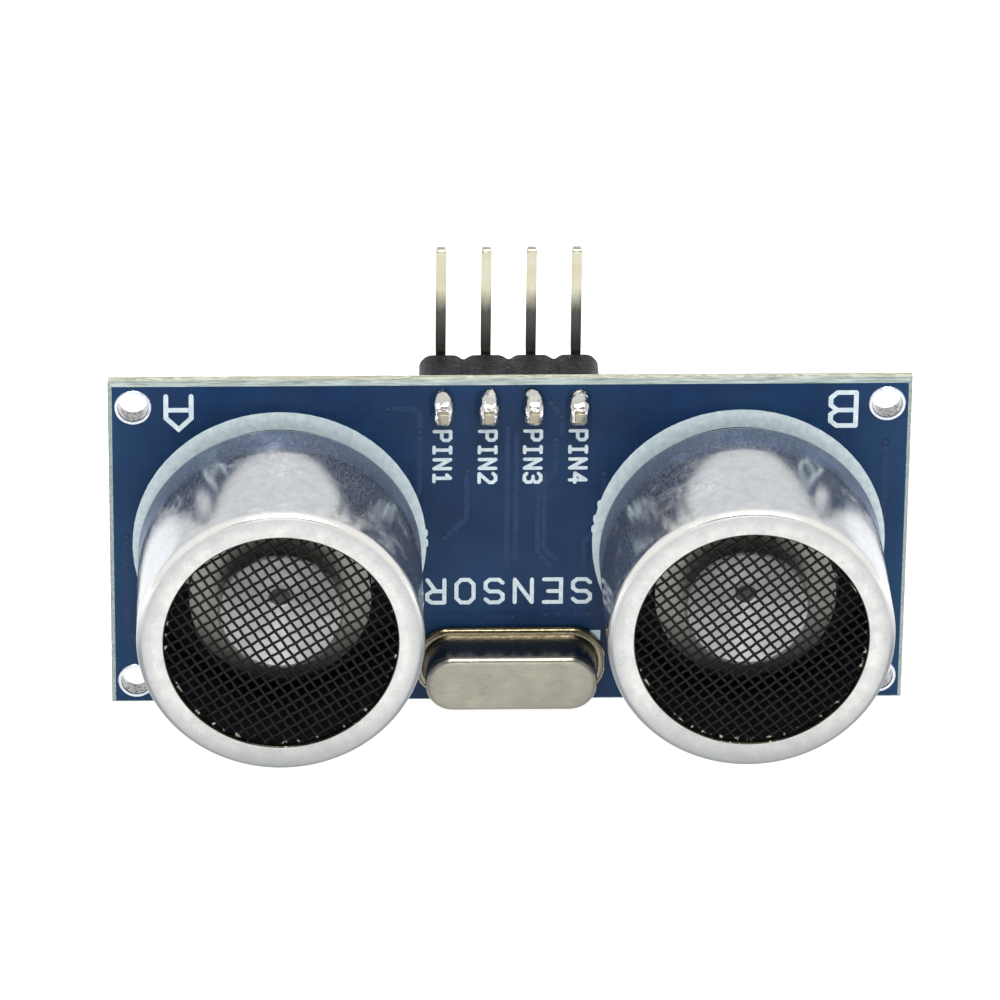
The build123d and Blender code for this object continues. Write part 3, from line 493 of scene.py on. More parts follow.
def header_look():
    """Black glass-filled plastic: lumpy, rubbed, with a few pale scuffs."""
    look = Look("header_plastic", (16, 17, 20), 0.5, Specular_IOR_Level=0.22)
    rub = look.noise(1.2, 6.0, 0.7)
    scuffs = look.noise(5.0, 4.0, 0.75, stretch=(0.6, 1.0, 1.4))
    colour = look.tint(rub, 0.4, 0.7, (8, 9, 11), (26, 28, 34))
    colour = look.tint(scuffs, 0.62, 0.7, colour, (112, 115, 120), 0.8)
    look.paint(colour)
    look.rough(rub, 0.3, 0.7, 0.34, 0.6)
    look.bump(look.noise(2.4, 3.0), 0.12)
    look.bump(scuffs, 0.03)
    return look.material


def pin_look():
    """Pale gold plating over polished wire, with faint draw lines along the pin."""
    look = Look("pale_gold_plating", (184, 180, 158), 0.12, metallic=1.0)
    lines = look.noise(6.0, 4.0, 0.6, stretch=(3.0, 3.0, 0.25))
    cloud = look.noise(0.7, 4.0)
    gold = look.tint(cloud, 0.3, 0.7, (178, 172, 146), (192, 190, 172))
    height = look.math("ADD", look.axis("Z"), look.ramp(lines, 0.3, 0.7, -0.2, 0.2))
    below = look.ramp(height, BOARD_HIGH.z + 2.2, BOARD_HIGH.z + 3.6, 1.0, 0.0)
    # painted reflection: the pins are darkened low down, just above the board's top edge, for the
    # black plastic they mirror; the same zone is also made rougher
    dull_and_dark_reflection = look.math("MULTIPLY", below, look.ramp(look.axis("Z"), BOARD_HIGH.z - 0.6, BOARD_HIGH.z))
    cut_end = look.ramp(look.axis("Z"), BOARD_HIGH.z - 1.2, BOARD_HIGH.z - 0.8, 0.85, 0.0)
    gold = look.mix(cut_end, gold, (140, 134, 120))
    look.paint(look.mix(dull_and_dark_reflection, gold, (84, 83, 80)))
    smooth = look.ramp(lines, 0.3, 0.7, 0.07, 0.2)
    look.feed("Roughness", look.math("ADD", smooth, look.math("MULTIPLY", dull_and_dark_reflection, 0.3)))
    look.bump(lines, 0.006)
    return look.material


def clear_look(name, colour, transmission):
    """Glass or quartz, which is inside the crystal."""
    look = Look(name, colour, 0.15, Transmission_Weight=transmission)
    frost = look.noise(4.0, 4.0)
    look.rough(frost, 0.3, 0.7, 0.08, 0.3)
    look.bump(frost, 0.01)
    return look.material


BOARD_LOOK = board_look()
LAMINATE = laminate_look()
TRACK = covered_copper_look("mask_over_tracks", (15, 40, 72), (24, 53, 87))
VIA_RING = covered_copper_look("mask_over_via_rings", (10, 28, 56), (16, 36, 66))
VIA_HOLE = covered_copper_look("mask_in_via_holes", (19, 45, 76), (27, 56, 89))
INK = ink_look()
CAN = can_look()
WIRE = wire_look()
CRYSTAL = crystal_look()
PIN = pin_look()
JOINT_SOLDER = solder_look("hand_soldered_joints", 0.04)
FLOW_SOLDER = solder_look("reflowed_solder", -0.08)
TIN = satin_metal_look("tinned_leads", (186, 186, 184), (216, 216, 213), 0.16, 0.34)
PAD_TIN = pad_look()
DISC_METAL = disc_look()
CONE_METAL = cone_look()
PIEZO = satin_metal_look("fired_silver", (186, 178, 150), (212, 206, 184), 0.4, 0.6)
COPPER_WIRE = satin_metal_look("enamelled_wire", (64, 40, 28), (92, 60, 40), 0.25, 0.4)
HEADER_PLASTIC = header_look()
BASE_PLASTIC = moulding_look(
    "base_plastic", (20, 22, 27), (36, 38, 45), 0.5, 0.7, 7.0, 0.015)
CHIP_RESIN = moulding_look(
    "chip_resin", (26, 26, 27), (50, 50, 50), 0.55, 0.72, 12.0, 0.014)
RESISTOR_GLAZE = moulding_look(
    "resistor_glaze", (14, 14, 15), (36, 36, 38), 0.2, 0.34, 6.0, 0.006)
CAPACITOR_CERAMIC = moulding_look(
    "capacitor_ceramic", (150, 122, 88), (184, 156, 118), 0.4, 0.55, 9.0, 0.01)
SILICONE = moulding_look(
    "silicone", (206, 205, 198), (226, 225, 218), 0.45, 0.6, 5.0, 0.01)
ADHESIVE = moulding_look(
    "cured_adhesive", (70, 70, 74), (112, 112, 116), 0.24, 0.4, 3.0, 0.02)
SILICON = moulding_look(
    "silicon", (88, 90, 100), (120, 122, 134), 0.15, 0.25, 10.0, 0.003)
SEAL_GLASS = clear_look("seal_glass", (110, 130, 140), 0.6)
QUARTZ = clear_look("quartz", (232, 236, 236), 0.8)


# ---------------------------------------------------------------- mesh building


class Shape:
    """Vertices, in millimetres, and faces of a piece that is being put together."""

    def __init__(self):
        self.verts = []
        self.faces = []

    def add(self, verts, faces):
        start = len(self.verts)
        self.verts += verts
        self.faces += [tuple(start + index for index in face) for face in faces]

    def loft(self, rings, closed_ends=True, looped=False):
        """Skin a row of rings that all have the same number of points."""
        count = len(rings[0])
        verts = [point for ring in rings for point in ring]
        faces = []
        steps = len(rings) if looped else len(rings) - 1
        for step in range(steps):
            here = step * count
            there = ((step + 1) % len(rings)) * count
            for i in range(count):
                j = (i + 1) % count
                faces.append((here + i, here + j, there + j, there + i))
        if closed_ends and not looped:
            faces.append(tuple(range(count)))
            faces.append(tuple((len(rings) - 1) * count + i for i in reversed(range(count))))
        self.add(verts, faces)

    def plate(self, outline, near_y, far_y):
        """A flat plate with an (x, z) outline, between two depths."""
        self.loft([[(x, near_y, z) for x, z in outline], [(x, far_y, z) for x, z in outline]])

    def turned(self, outline, x, z, segments, wobble=None):
        """A ring made by turning a closed outline of (radius, y) points about a line along Y."""
        rings = []
        for i in range(segments):
            angle = 2 * math.pi * i / segments
            ring = []
            for radius, y in outline:
                reach = radius + (wobble(angle, radius) if wobble else 0.0)
                ring.append((x + reach * math.cos(angle), y, z + reach * math.sin(angle)))
            rings.append(ring)
        self.loft(rings, looped=True)

    def tube(self, points, across, radius, sides):
        """A round wire along points; across is the level direction square to the wire."""
        rings = []
        for point in points:
            ring = []
            for i in range(sides):
                angle = 2 * math.pi * i / sides
                offset = across * math.cos(angle) + Vector((0, 1, 0)) * math.sin(angle)
                ring.append(tuple(point + offset * radius))
            rings.append(ring)
        self.loft(rings)

    def piece(self, name, material, slot, replaces=(), sharp=35.0):
        """Make the Blender object: it rides on the part's one body."""
        mesh = bpy.data.meshes.new(name)
        mesh.from_pydata([tuple(value * MM for value in vert) for vert in self.verts], [], self.faces)
        work = bmesh.new()
        work.from_mesh(mesh)
        bmesh.ops.remove_doubles(work, verts=work.verts, dist=0.0001 * MM)
        bmesh.ops.dissolve_degenerate(work, edges=work.edges, dist=0.0001 * MM)
        bmesh.ops.recalc_face_normals(work, faces=work.faces)
        return finish_piece(work, mesh, name, material, replaces, sharp)


def add_object(name, data):
    """An object in the scene for a mesh, a light or a camera."""
    added = bpy.data.objects.new(name, data)
    bpy.context.scene.collection.objects.link(added)
    return added


def finish_piece(work, mesh, name, material, replaces, sharp):
    """Write a worked mesh into an object, smooth it and tie it to the frame."""
    work.to_mesh(mesh)
    work.free()
    mesh.shade_smooth()
    mesh.set_sharp_from_angle(angle=math.radians(sharp))
    mesh.materials.append(material)
    piece = add_object(name, mesh)
    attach(piece, "root")
    if replaces:
        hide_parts(*replaces)
    return piece


def softened(node, material, width, segments=2, only_along_y=False):
    """A copy of a CAD node with its sharp edges broken, which stands for the node."""
    work = merged_mesh(node)
    flat = math.radians(1.0)
    bmesh.ops.dissolve_limit(work, angle_limit=flat, verts=work.verts, edges=work.edges)
    corners = [
        edge for edge in work.edges
        if len(edge.link_faces) == 2 and edge.calc_face_angle(0.0) > math.radians(30)
    ]
    if only_along_y:
        corners = [edge for edge in corners if runs_along_y(edge)]
    bmesh.ops.bevel(
        work, geom=corners, offset=width * MM, segments=segments, profile=0.5,
        affect="EDGES", clamp_overlap=True,
    )
    name = f"{node}_finished"
    mesh = bpy.data.meshes.new(name)
    return finish_piece(work, mesh, name, material, (node,), 40.0)


def runs_along_y(edge):
    """Whether an edge crosses its part from front to back."""
    span = edge.verts[1].co - edge.verts[0].co
    return span.length > MM and abs(span.y) > 0.99 * span.length


def painted(node, material):
    """Give a CAD node that keeps its own mesh a better material."""
    slots = cad_nodes[node].data.materials
    slots.clear()
    slots.append(material)


def wander(seed, *place):
    """Smooth noise, about -0.5 to 0.5, that differs for each seed."""
    return noise.noise(Vector(place) + Vector((seed * 17.3, seed * 5.1, seed * 9.7)))


# ---------------------------------------------------------------- board


def rounded_step(values, step):
    """Points about step apart from the first of values to the last, the last left out."""
    start, end = values
    count = max(2, round(abs(end - start) / step))
    return [start + (end - start) * i / count for i in range(count)]


def make_board_edge():
    """A skin of torn laminate on the board's four edges, following its V-score bevels."""
    inset = 0.22
    score = 0.35
    proud = 0.012
    tear = 0.07
    web = BACK_Y - 2 * score
    front = [(inset + 0.3, 0.02), (inset - 0.02, 0.0), (inset * 0.5, score * 0.5), (0.0, score)]
    back = [(inward, BACK_Y - y) for inward, y in reversed(front)]
    profile = [*front, (0.0, score + web * 0.33), (0.0, score + web * 0.67), *back]
    half_x, half_z = BOARD_HIGH.x, BOARD_HIGH.z
    step = 0.12
    path = [(x, half_z, 0, 1) for x in rounded_step((-half_x, half_x), step)]
    path += [(half_x, z, 1, 0) for z in rounded_step((half_z, -half_z), step)]
    path += [(x, -half_z, 0, -1) for x in rounded_step((half_x, -half_x), step)]
    path += [(-half_x, z, -1, 0) for z in rounded_step((-half_z, half_z), step)]
    rings = []
    for x, z, out_x, out_z in path:
        ring = []
        for index, (inward, y) in enumerate(profile):
            torn = index in (4, 5)
            rough = wander(3, x * 1.9, y * 5.0, z * 1.9) * tear * (1.0 if torn else 0.3)
            reach = proud - inward + (rough if 0 < index < len(profile) - 1 else 0.0)
            corner_x = min(abs(x) + reach * abs(out_x), half_x - inward + proud)
            corner_z = min(abs(z) + reach * abs(out_z), half_z - inward + proud)
            ring.append((math.copysign(corner_x, x), y, math.copysign(corner_z, z)))
        rings.append(ring)
    shape = Shape()
    shape.loft(rings, looped=True)
    return shape.piece("board_torn_edge", LAMINATE, "board", sharp=60.0)


def stroke_outline(points, width, cap_steps=4):
    """The outline of a pen stroke of this width along (x, z) points, with round ends."""
    half = width / 2
    path = [Vector(point) for point in points]
    left, right = [], []
    for i, point in enumerate(path):
        before = (path[i] - path[i - 1]).normalized() if i else None
        after = (path[i + 1] - path[i]).normalized() if i + 1 < len(path) else None
        before = before or after
        after = after or before
        along = (before + after).normalized()
        side = Vector((-along.y, along.x))
        reach = half / max(side.dot(Vector((-after.y, after.x))), 0.5)
        left.append(point + side * reach)
        right.append(point - side * reach)
    outline = [tuple(point) for point in left]
    outline += round_cap(path[-1], left[-1] - path[-1], cap_steps)
    outline += [tuple(point) for point in reversed(right)]
    outline += round_cap(path[0], right[0] - path[0], cap_steps)
    return outline


def round_cap(centre, start, steps):
    """Points on the half circle that turns clockwise from centre + start, ends left out."""
    points = []
    for i in range(1, steps):
        turn = Matrix.Rotation(-math.pi * i / steps, 2)
        points.append(tuple(centre + turn @ start))
    return points


FILM_SINK = 0.01            # how far every film reaches into the board
FILM_STEP = 0.0006          # crossing strokes differ in height by this much
INK_HEIGHT = 0.02
TRACK_HEIGHT = 0.006
VIA_HOLE_HEIGHT = 0.012
VIA_RING_HEIGHT = 0.018


class Print:
    """Flat marks on one face of the board, each standing a hair above the last."""

    def __init__(self, surface_y, outward, height):
        self.shape = Shape()
        self.sunk = surface_y - outward * FILM_SINK
        self.surface_y = surface_y
        self.outward = outward
        self.height = height
        self.count = 0

    def outline(self, points):
        """One filled outline of (x, z) points."""
        self.count += 1
        top = self.height + FILM_STEP * (self.count % 9)
        self.shape.plate(points, self.sunk, self.surface_y + self.outward * top)

    def stroke(self, points, width):
        self.outline(stroke_outline(points, width))

    def ring(self, x, z, inner, outer, ragged, seed, segments=40):
        """A flat ring with an uneven outer edge."""
        top = self.surface_y + self.outward * self.height
        middle = (inner + outer) / 2

        def wobble(angle, radius):
            if radius < middle:
                return 0.0
            return ragged * wander(seed, math.cos(angle) * 34, math.sin(angle) * 34, 0.0)

        outline = [(inner, self.sunk), (inner, top), (outer, top), (outer, self.sunk)]
        self.shape.turned(outline, x, z, segments, wobble)

    def disc(self, x, z, radius, segments=24):
        angles = [2 * math.pi * i / segments for i in range(segments)]
        self.outline([(x + radius * math.cos(a), z + radius * math.sin(a)) for a in angles])

    def frame(self, low, high, width):
        """Four strokes round a box in X and Z."""
        corners = [(low.x, low.z), (high.x, low.z), (high.x, high.z), (low.x, high.z)]
        for i, corner in enumerate(corners):
            self.stroke([corner, corners[(i + 1) % 4]], width)


# Letters and figures as pen strokes in a box one unit high.
GLYPHS = {
    "A": [[(0, 0), (0, 0.66), (0.3, 1), (0.6, 0.66), (0.6, 0)], [(0, 0.42), (0.6, 0.42)]],
    "B": [[(0, 0), (0, 1)],
          [(0, 1), (0.45, 1), (0.6, 0.86), (0.6, 0.66), (0.45, 0.53), (0, 0.53)],
          [(0.45, 0.53), (0.6, 0.38), (0.6, 0.16), (0.45, 0), (0, 0)]],
    "E": [[(0.6, 1), (0, 1), (0, 0), (0.6, 0)], [(0, 0.52), (0.45, 0.52)]],
    "I": [[(0.3, 0), (0.3, 1)], [(0.1, 1), (0.5, 1)], [(0.1, 0), (0.5, 0)]],
    "N": [[(0, 0), (0, 1)], [(0, 1), (0.6, 0)], [(0.6, 0), (0.6, 1)]],
    "O": [[(0.3, 0), (0.16, 0), (0, 0.2), (0, 0.8), (0.16, 1), (0.3, 1)],
          [(0.3, 0), (0.44, 0), (0.6, 0.2), (0.6, 0.8), (0.44, 1), (0.3, 1)]],
    "P": [[(0, 0), (0, 1)], [(0, 1), (0.44, 1), (0.6, 0.86), (0.6, 0.6), (0.44, 0.46), (0, 0.46)]],
    "R": [[(0, 0), (0, 1)], [(0, 1), (0.44, 1), (0.6, 0.86), (0.6, 0.64), (0.44, 0.5), (0, 0.5)],
          [(0.3, 0.5), (0.6, 0)]],
    "S": [[(0, 0.14), (0.14, 0), (0.46, 0), (0.6, 0.14), (0.6, 0.38), (0.46, 0.52),
           (0.14, 0.52), (0, 0.66), (0, 0.86), (0.14, 1), (0.46, 1), (0.6, 0.86)]],
    "1": [[(0.08, 0.78), (0.3, 1)], [(0.3, 1), (0.3, 0)], [(0.08, 0), (0.52, 0)]],
    "2": [[(0, 0.84), (0.16, 1), (0.44, 1), (0.6, 0.84), (0.6, 0.62), (0, 0)], [(0, 0), (0.6, 0)]],
    "3": [[(0, 0.86), (0.16, 1), (0.44, 1), (0.6, 0.86), (0.6, 0.66), (0.44, 0.53), (0.2, 0.53)],
          [(0.44, 0.53), (0.6, 0.38), (0.6, 0.15), (0.44, 0), (0.16, 0), (0, 0.14)]],
    "4": [[(0.46, 0), (0.46, 1)], [(0.46, 1), (0, 0.32)], [(0, 0.32), (0.62, 0.32)]],
}


def write_text(ink, text, start, across, up, height, advance, width, widen=1.0):
    """Pen-stroke text; start is its lower left corner, across and up are its own directions."""
    for index, letter in enumerate(text):
        for stroke in GLYPHS[letter]:
            points = []
            for along, rise in stroke:
                reach = index * advance + along * height * widen
                place = Vector(start) + Vector(across) * reach
                points.append(tuple(place + Vector(up) * rise * height))
            ink.stroke(points, width)


LABEL_TOP_Z = 7.02          # the pin labels read downward from here
LABEL_CAP = 0.92            # height of their capitals, to the middle of the stroke
LABEL_ADVANCE = 0.88
TITLE_CAP = 1.44
TITLE_ADVANCE = 1.65
TITLE_START = (4.61, -2.31)
CORNER_MARK_CAP = 2.05
CORNER_MARK_Z = 9.3
CORNER_MARKS = {"A": -17.85, "B": 19.35}
SMALL_MARKS = ((4.65, -5.57, 5.23, -6.21), (-4.99, -8.38, -4.76, -8.89))    # left, top, right, foot
RING_OUTER = 8.27
RING_INNER = 7.2
RING_NUBS = {"receiver": (0.67, 0.04), "transmitter": (2.4, 1.5, 0.85)}     # z where ink ran


def make_front_ink():
    """The printed legend on the front: two rings, four pin labels, a title and two marks."""
    ink = Print(FRONT_Y, -1, INK_HEIGHT)
    for seed, name in enumerate(TRANSDUCERS):
        x = centre_mm(f"{name}_can").x
        ink.ring(x, 0, RING_INNER, RING_OUTER, 0.014, seed + 1, 720)
        side = 1 if x < 0 else -1
        for z in RING_NUBS[name]:
            out = math.sqrt(RING_OUTER ** 2 - z ** 2) - 0.04
            ink.stroke([(x + side * out, z - 0.12), (x + side * out, z + 0.12)], 0.28)
    down, right = (0, -1), (1, 0)
    for number, pin in enumerate(PINS, start=1):
        left_x = centre_mm(pin).x - LABEL_CAP / 2
        write_text(ink, f"PIN{number}", (left_x, LABEL_TOP_Z), down, right, LABEL_CAP,
                   LABEL_ADVANCE, 0.2)
    left = (-1, 0)
    write_text(ink, "SENSOR", TITLE_START, left, down, TITLE_CAP, TITLE_ADVANCE, 0.23, 1.12)
    for mark, x in CORNER_MARKS.items():
        write_text(ink, mark, (x, CORNER_MARK_Z), left, down, CORNER_MARK_CAP, 0, 0.27, 1.15)
    for x0, z1, x1, z0 in SMALL_MARKS:
        ink.outline([(x0, z1), (x1, z1), (x1, z0), (x0, z0)])
    return ink.shape.piece("legend_ink_front", INK, "board")


# Vias on the front, as (x, z), and the covered tracks that join them to pads.
FRONT_VIAS = (
    (-5.07, 6.99), (-2.42, 4.54), (2.56, 6.44), (5.29, 4.30), (-3.62, 0.34), (2.25, 8.75),
    (2.88, 7.87), (-6.86, 8.43), (-21.59, 0.53), (21.10, 6.20), (4.58, -4.54), (2.13, -4.53),
    (0.26, -4.70),
)
FRONT_TRACKS = (
    ((-5.07, 6.99), (-5.07, 3.2), (-6.2, 2.1)),
    ((-2.42, 4.54), (-2.42, 1.6), (-3.62, 0.34)),
    ((-0.15, 7.2), (-0.15, -1.5)),
    ((0.35, 6.8), (0.35, -1.0)),
    ((1.6, 4.2), (1.6, -0.6), (2.3, -1.4)),
    ((1.95, 4.4), (1.95, -0.3), (2.6, -1.0)),
    ((2.56, 6.44), (2.56, 4.4), (1.95, 3.8)),
    ((5.29, 4.30), (5.29, 1.2), (4.2, 0.1), (4.2, -1.6)),
    ((2.25, 8.75), (2.88, 7.87), (2.88, 6.8)),
    ((-6.86, 8.43), (-5.5, 8.43), (-5.07, 8.0), (-5.07, 6.99)),
    ((0.26, -4.70), (-3.6, -4.70)),
    ((2.13, -4.53), (4.58, -4.54)),
    ((-21.59, 0.53), (-21.59, -5.5), (-20.8, -6.3)),
    ((21.10, 6.20), (21.10, -3.0), (20.4, -3.7)),
)


def make_copper(face, surface_y, outward, vias, tracks, width):
    """Tracks and vias under the solder mask on one face of the board."""
    covered = Print(surface_y, outward, TRACK_HEIGHT)
    for track in tracks:
        covered.stroke(track, width)
    covered.shape.piece(f"tracks_{face}", TRACK, "board")
    rings = Print(surface_y, outward, VIA_RING_HEIGHT)
    holes = Print(surface_y, outward, VIA_HOLE_HEIGHT)
    for x, z in vias:
        rings.ring(x, z, 0.14, 0.23, 0.02, 5)
        holes.disc(x, z, 0.15)
    rings.shape.piece(f"via_rings_{face}", VIA_RING, "board")
    holes.shape.piece(f"via_holes_{face}", VIA_HOLE, "board")


def back_vias_and_tracks():
    """A routing of the back: a short track from each chip's lead, and one along each long edge."""
    vias, tracks = [], []
    for chip in CHIPS:
        middle = centre_mm(f"{chip}_body")
        for index, (low, high, axis, side) in enumerate(leads(chip)):
            lead = (low + high) / 2
            along = lead[2 - axis]
            stagger, jog = (0.45, 0.35) if axis == 0 else (0.4, 0.3)
            reach = lead[axis] + side * (0.9 + (0.9 + stagger * (index % 3)) * 0.4)
            away = 1 if along > middle[2 - axis] else -1
            end = in_x_z(axis, reach + side * jog, along + jog * away)
            tracks.append(((lead.x, lead.z), in_x_z(axis, reach, along), end))
            if index % 2:
                vias.append(end)
    for z in (8.3, -8.8):
        tracks.append(((-18.5, z), (-8.5, z), (-8.0, z - 0.5), (8.0, z - 0.5), (8.5, z), (18.5, z)))
        vias += [(-18.5, z), (18.5, z)]
    return vias, tracks


def make_back_ink():
    """Outlines round the chips and chip parts on the back, and a dot at each first lead."""
    ink = Print(BACK_Y, 1, INK_HEIGHT)
    for chip in CHIPS:
        low, high = box_mm(f"{chip}_body")
        upright = high.z - low.z > high.x - low.x
        shrink = Vector((0.55, 0, -0.2) if upright else (-0.2, 0, 0.55))
        ink.frame(low + shrink, high - shrink, 0.15)
        ink.disc(low.x - (1.35 if upright else 0.9), high.z + 0.5, 0.22)
    for low, high in island_boxes("resistor_bodies") + island_boxes("capacitor_bodies"):
        level = high.x - low.x > high.z - low.z
        margin = Vector((0.75, 0, 0.2) if level else (0.2, 0, 0.75))
        ink.frame(low - margin, high + margin, 0.13)
    low, high = box_mm("header_body")
    sides, foot = (low.x - 0.2, high.x + 0.2), low.z - 0.2
    for x in sides:
        ink.stroke([(x, foot), (x, high.z - 0.1)], 0.16)
    ink.stroke([(x, foot) for x in sides], 0.16)
    for name in TRANSDUCERS:
        ink.ring(centre_mm(f"{name}_can").x, 0, 8.0, 8.15, 0.02, 8, 240)
    return ink.shape.piece("legend_ink_back", INK, "board")


# ---------------------------------------------------------------- transducers


def make_can(name):
    """The aluminium can as a finely turned shell with a rolled front edge."""
    low, high = box_mm(f"{name}_can")
    centre = (low + high) / 2
    radius = (high.x - low.x) / 2
    front, back = low.y, high.y
    opening = min(
        math.hypot(vert.co.x / MM - centre.x, vert.co.z / MM - centre.z)
        for vert in cad_nodes[f"{name}_can"].data.vertices
    )
    wall = 0.4
    edge = 0.5
    steps = 8
    outline = [(radius - 0.03, back), (radius, back - 0.05)]
    outline += [(radius, back + (front + edge - back) * share) for share in (0.3, 0.6, 0.9)]
    for i in range(steps + 1):
        angle = math.pi / 2 * i / steps
        out, down = edge * math.cos(angle), edge * math.sin(angle)
        outline.append((radius - edge + out, front + edge - down))
    outline += [(opening + 0.14, front + 0.004), (opening + 0.06, front + 0.03)]
    outline += [(opening, front + 0.1), (opening, front + wall - 0.05)]
    outline += [(opening + 0.05, front + wall), (radius - wall - 0.1, front + wall)]
    outline += [(radius - wall, front + wall + 0.1), (radius - wall, back)]
    shape = Shape()
    shape.turned(outline, centre.x, centre.z, 224)
    return shape.piece(f"{name}_can_shell", CAN, "can_aluminium", (f"{name}_can",), 50.0)


# Angle and pitch of each screen's two sets of wires.
WEAVES = {
    "receiver": ((32.3, 0.608), (-57.5, 0.524)),
    "transmitter": ((37.3, 0.517), (-51.7, 0.564)),
}
WIRE_RADIUS = 0.081
WEAVE_RISE = 0.036


def wire_directions(angle):
    """The level direction of a set of wires, and the one square to it."""
    along = Vector((math.cos(math.radians(angle)), 0, math.sin(math.radians(angle))))
    return along, Vector((-along.z, 0, along.x))


def make_screen(name, seed):
    """Two sets of wires woven over and under each other."""
    low, high = box_mm(f"{name}_screen")
    centre = (low + high) / 2
    reach = 6.95
    level = high.y - WEAVE_RISE - WIRE_RADIUS + 0.02
    draws = random.Random(seed)
    shape = Shape()
    for which, (angle, pitch) in enumerate(WEAVES[name]):
        other_angle, other_pitch = WEAVES[name][1 - which]
        along, across = wire_directions(angle)
        other_across = wire_directions(other_angle)[1]
        spacing = other_pitch / abs(along.dot(other_across))
        count = int(reach / pitch)
        for index in range(-count, count + 1):
            offset = index * pitch + draws.uniform(-0.012, 0.012)
            half = math.sqrt(max(reach ** 2 - offset ** 2, 0.0))
            if half < spacing:
                continue
            crossing = -offset * across.dot(other_across) / along.dot(other_across)
            start = math.ceil((-half - crossing) / spacing * 4)
            end = math.floor((half - crossing) / spacing * 4)
            bow = draws.uniform(-0.014, 0.014)
            sign = 1 if (index + which) % 2 else -1
            points = []
            for quarter in range(start, end + 1):
                run = crossing + quarter * spacing / 4
                rise = sign * WEAVE_RISE * math.cos(math.pi * quarter / 4)
                drift = offset + bow * math.cos(run * 0.3)
                points.append(centre + along * run + across * drift
                              + Vector((0, level + rise - centre.y, 0)))
            shape.tube(points, across, WIRE_RADIUS, 6)
    return shape.piece(f"{name}_woven_screen", WIRE, "screen_wire", (f"{name}_screen",), 80.0)


# ---------------------------------------------------------------- crystal


def rounded_oblong(x, z, half_x, half_z, radius, steps=10):
    """(x, z) points round an oblong with rounded corners."""
    points = []
    for corner, (sx, sz) in enumerate(((1, 1), (-1, 1), (-1, -1), (1, -1))):
        for i in range(steps + 1):
            angle = math.pi / 2 * (corner + i / steps)
            points.append((
                x + sx * (half_x - radius) + radius * math.cos(angle),
                z + sz * (half_z - radius) + radius * math.sin(angle),
            ))
    return points


def make_crystal_cover():
    """The drawn cover: welded flange, straight wall, rolled edge and a faintly crowned face."""
    low, high = box_mm("crystal_cover")
    x, z = (low.x + high.x) / 2, (low.z + high.z) / 2
    flange_x, flange_z = (high.x - low.x) / 2, (high.z - low.z) / 2
    step_in = 0.5
    wall_x, wall_z = flange_x - step_in - 0.05, flange_z - step_in + 0.05
    front, back = low.y, high.y
    lip = 0.2
    edge = 0.42
    share = 0.92        # of the half height, for the rounding of the ends
    rim = back - lip
    flange = [(-0.03, back), (0.0, back - 0.04), (0.0, rim + 0.06), (-0.06, rim), (-0.13, rim + 0.01)]
    flange += [(-0.16, rim + 0.05), (-0.2, rim + 0.05), (-0.24, rim - 0.02), (-0.32, rim - 0.04)]
    wall = [(0.26, rim - 0.06), (0.18, rim - 0.1), (0.15, rim - 0.2), (0.1, rim - 0.24)]
    wall += [(0.04, rim - 0.42), (0.0, rim - 0.62)]
    wall += [(0.0, (front + edge + back - lip) / 2), (0.0, front + edge)]
    for i in range(1, 8):
        angle = math.pi / 2 * i / 7
        wall.append((-edge + edge * math.cos(angle), front + edge - edge * math.sin(angle)))
    wall += [(-edge - 0.3, front - 0.008), (-edge - 0.8, front - 0.012)]
    rings = []
    for half_x, base_z, outline in ((flange_x, flange_z, flange), (wall_x, wall_z, wall)):
        for grow, y in outline:
            half_z = base_z + grow
            oblong = rounded_oblong(x, z, half_x + grow, half_z, half_z * share)
            rings.append([(px, y, pz) for px, pz in oblong])
    shape = Shape()
    shape.loft(rings)
    return shape.piece("crystal_drawn_cover", CRYSTAL, "crystal_metal", ("crystal_cover",), 45.0)


# ---------------------------------------------------------------- solder


def squarish(angle, half_x, half_z, power):
    """A point on a rounded rectangle: power 2 gives an ellipse, more gives squarer corners."""
    c, s = math.cos(angle), math.sin(angle)
    x = math.copysign(abs(c) ** (2 / power), c) * half_x
    z = math.copysign(abs(s) ** (2 / power), s) * half_z
    return x, z


def add_mound(shape, place, base, top, height, outward, seed, curve=2.2, lump=0.06, segments=28,
              square=2.0):
    """Solder that wets a flat pad and climbs a lead: wide base, curved flank, narrow top."""
    x, surface_y, z = place
    levels = 9
    lean_x = wander(seed, 1.7, 0.3, 0.9) * 0.16
    lean_z = wander(seed, 4.1, 2.3, 0.4) * 0.16
    rings = [[]]
    for level in range(levels):
        share = level / (levels - 1)
        narrow = (1 - share) ** curve
        power = square + 1.2 * share
        ring = []
        for i in range(segments):
            angle = 2 * math.pi * i / segments
            half_x = top[0] + (base[0] - top[0]) * narrow
            half_z = top[1] + (base[1] - top[1]) * narrow
            px, pz = squarish(angle, half_x, half_z, power)
            rough = wander(seed, math.cos(angle) * 1.6, math.sin(angle) * 1.6, share * 2)
            rough = 1 + lump * 2 * rough
            bulge = share * (1 - share)
            ring.append((
                x + px * rough + lean_x * bulge,
                surface_y + outward * height * share,
                z + pz * rough + lean_z * bulge,
            ))
        rings.append(ring)
    rings[0] = [(px, surface_y - outward * 0.01, pz) for px, _, pz in rings[1]]
    shape.loft(rings)


def make_header_joints():
    """Four joints on the front, each a fat oval bead round its pin's tail."""
    low, high = box_mm("header_solder_joints")
    z = (low.z + high.z) / 2
    half_z = (high.z - low.z) / 2
    shape = Shape()
    for seed, pin in enumerate(PINS):
        place = (centre_mm(pin).x, FRONT_Y, z)
        tail = FRONT_Y - box_mm(pin)[0].y
        add_mound(shape, place, (0.7, half_z), (0.4, 0.4), tail * 0.78, -1,
                  seed + 11, curve=0.44, lump=0.07, segments=48, square=2.5)
    return shape.piece("header_joints_front", JOINT_SOLDER, "solder",
                       ("header_solder_joints",), 70.0)


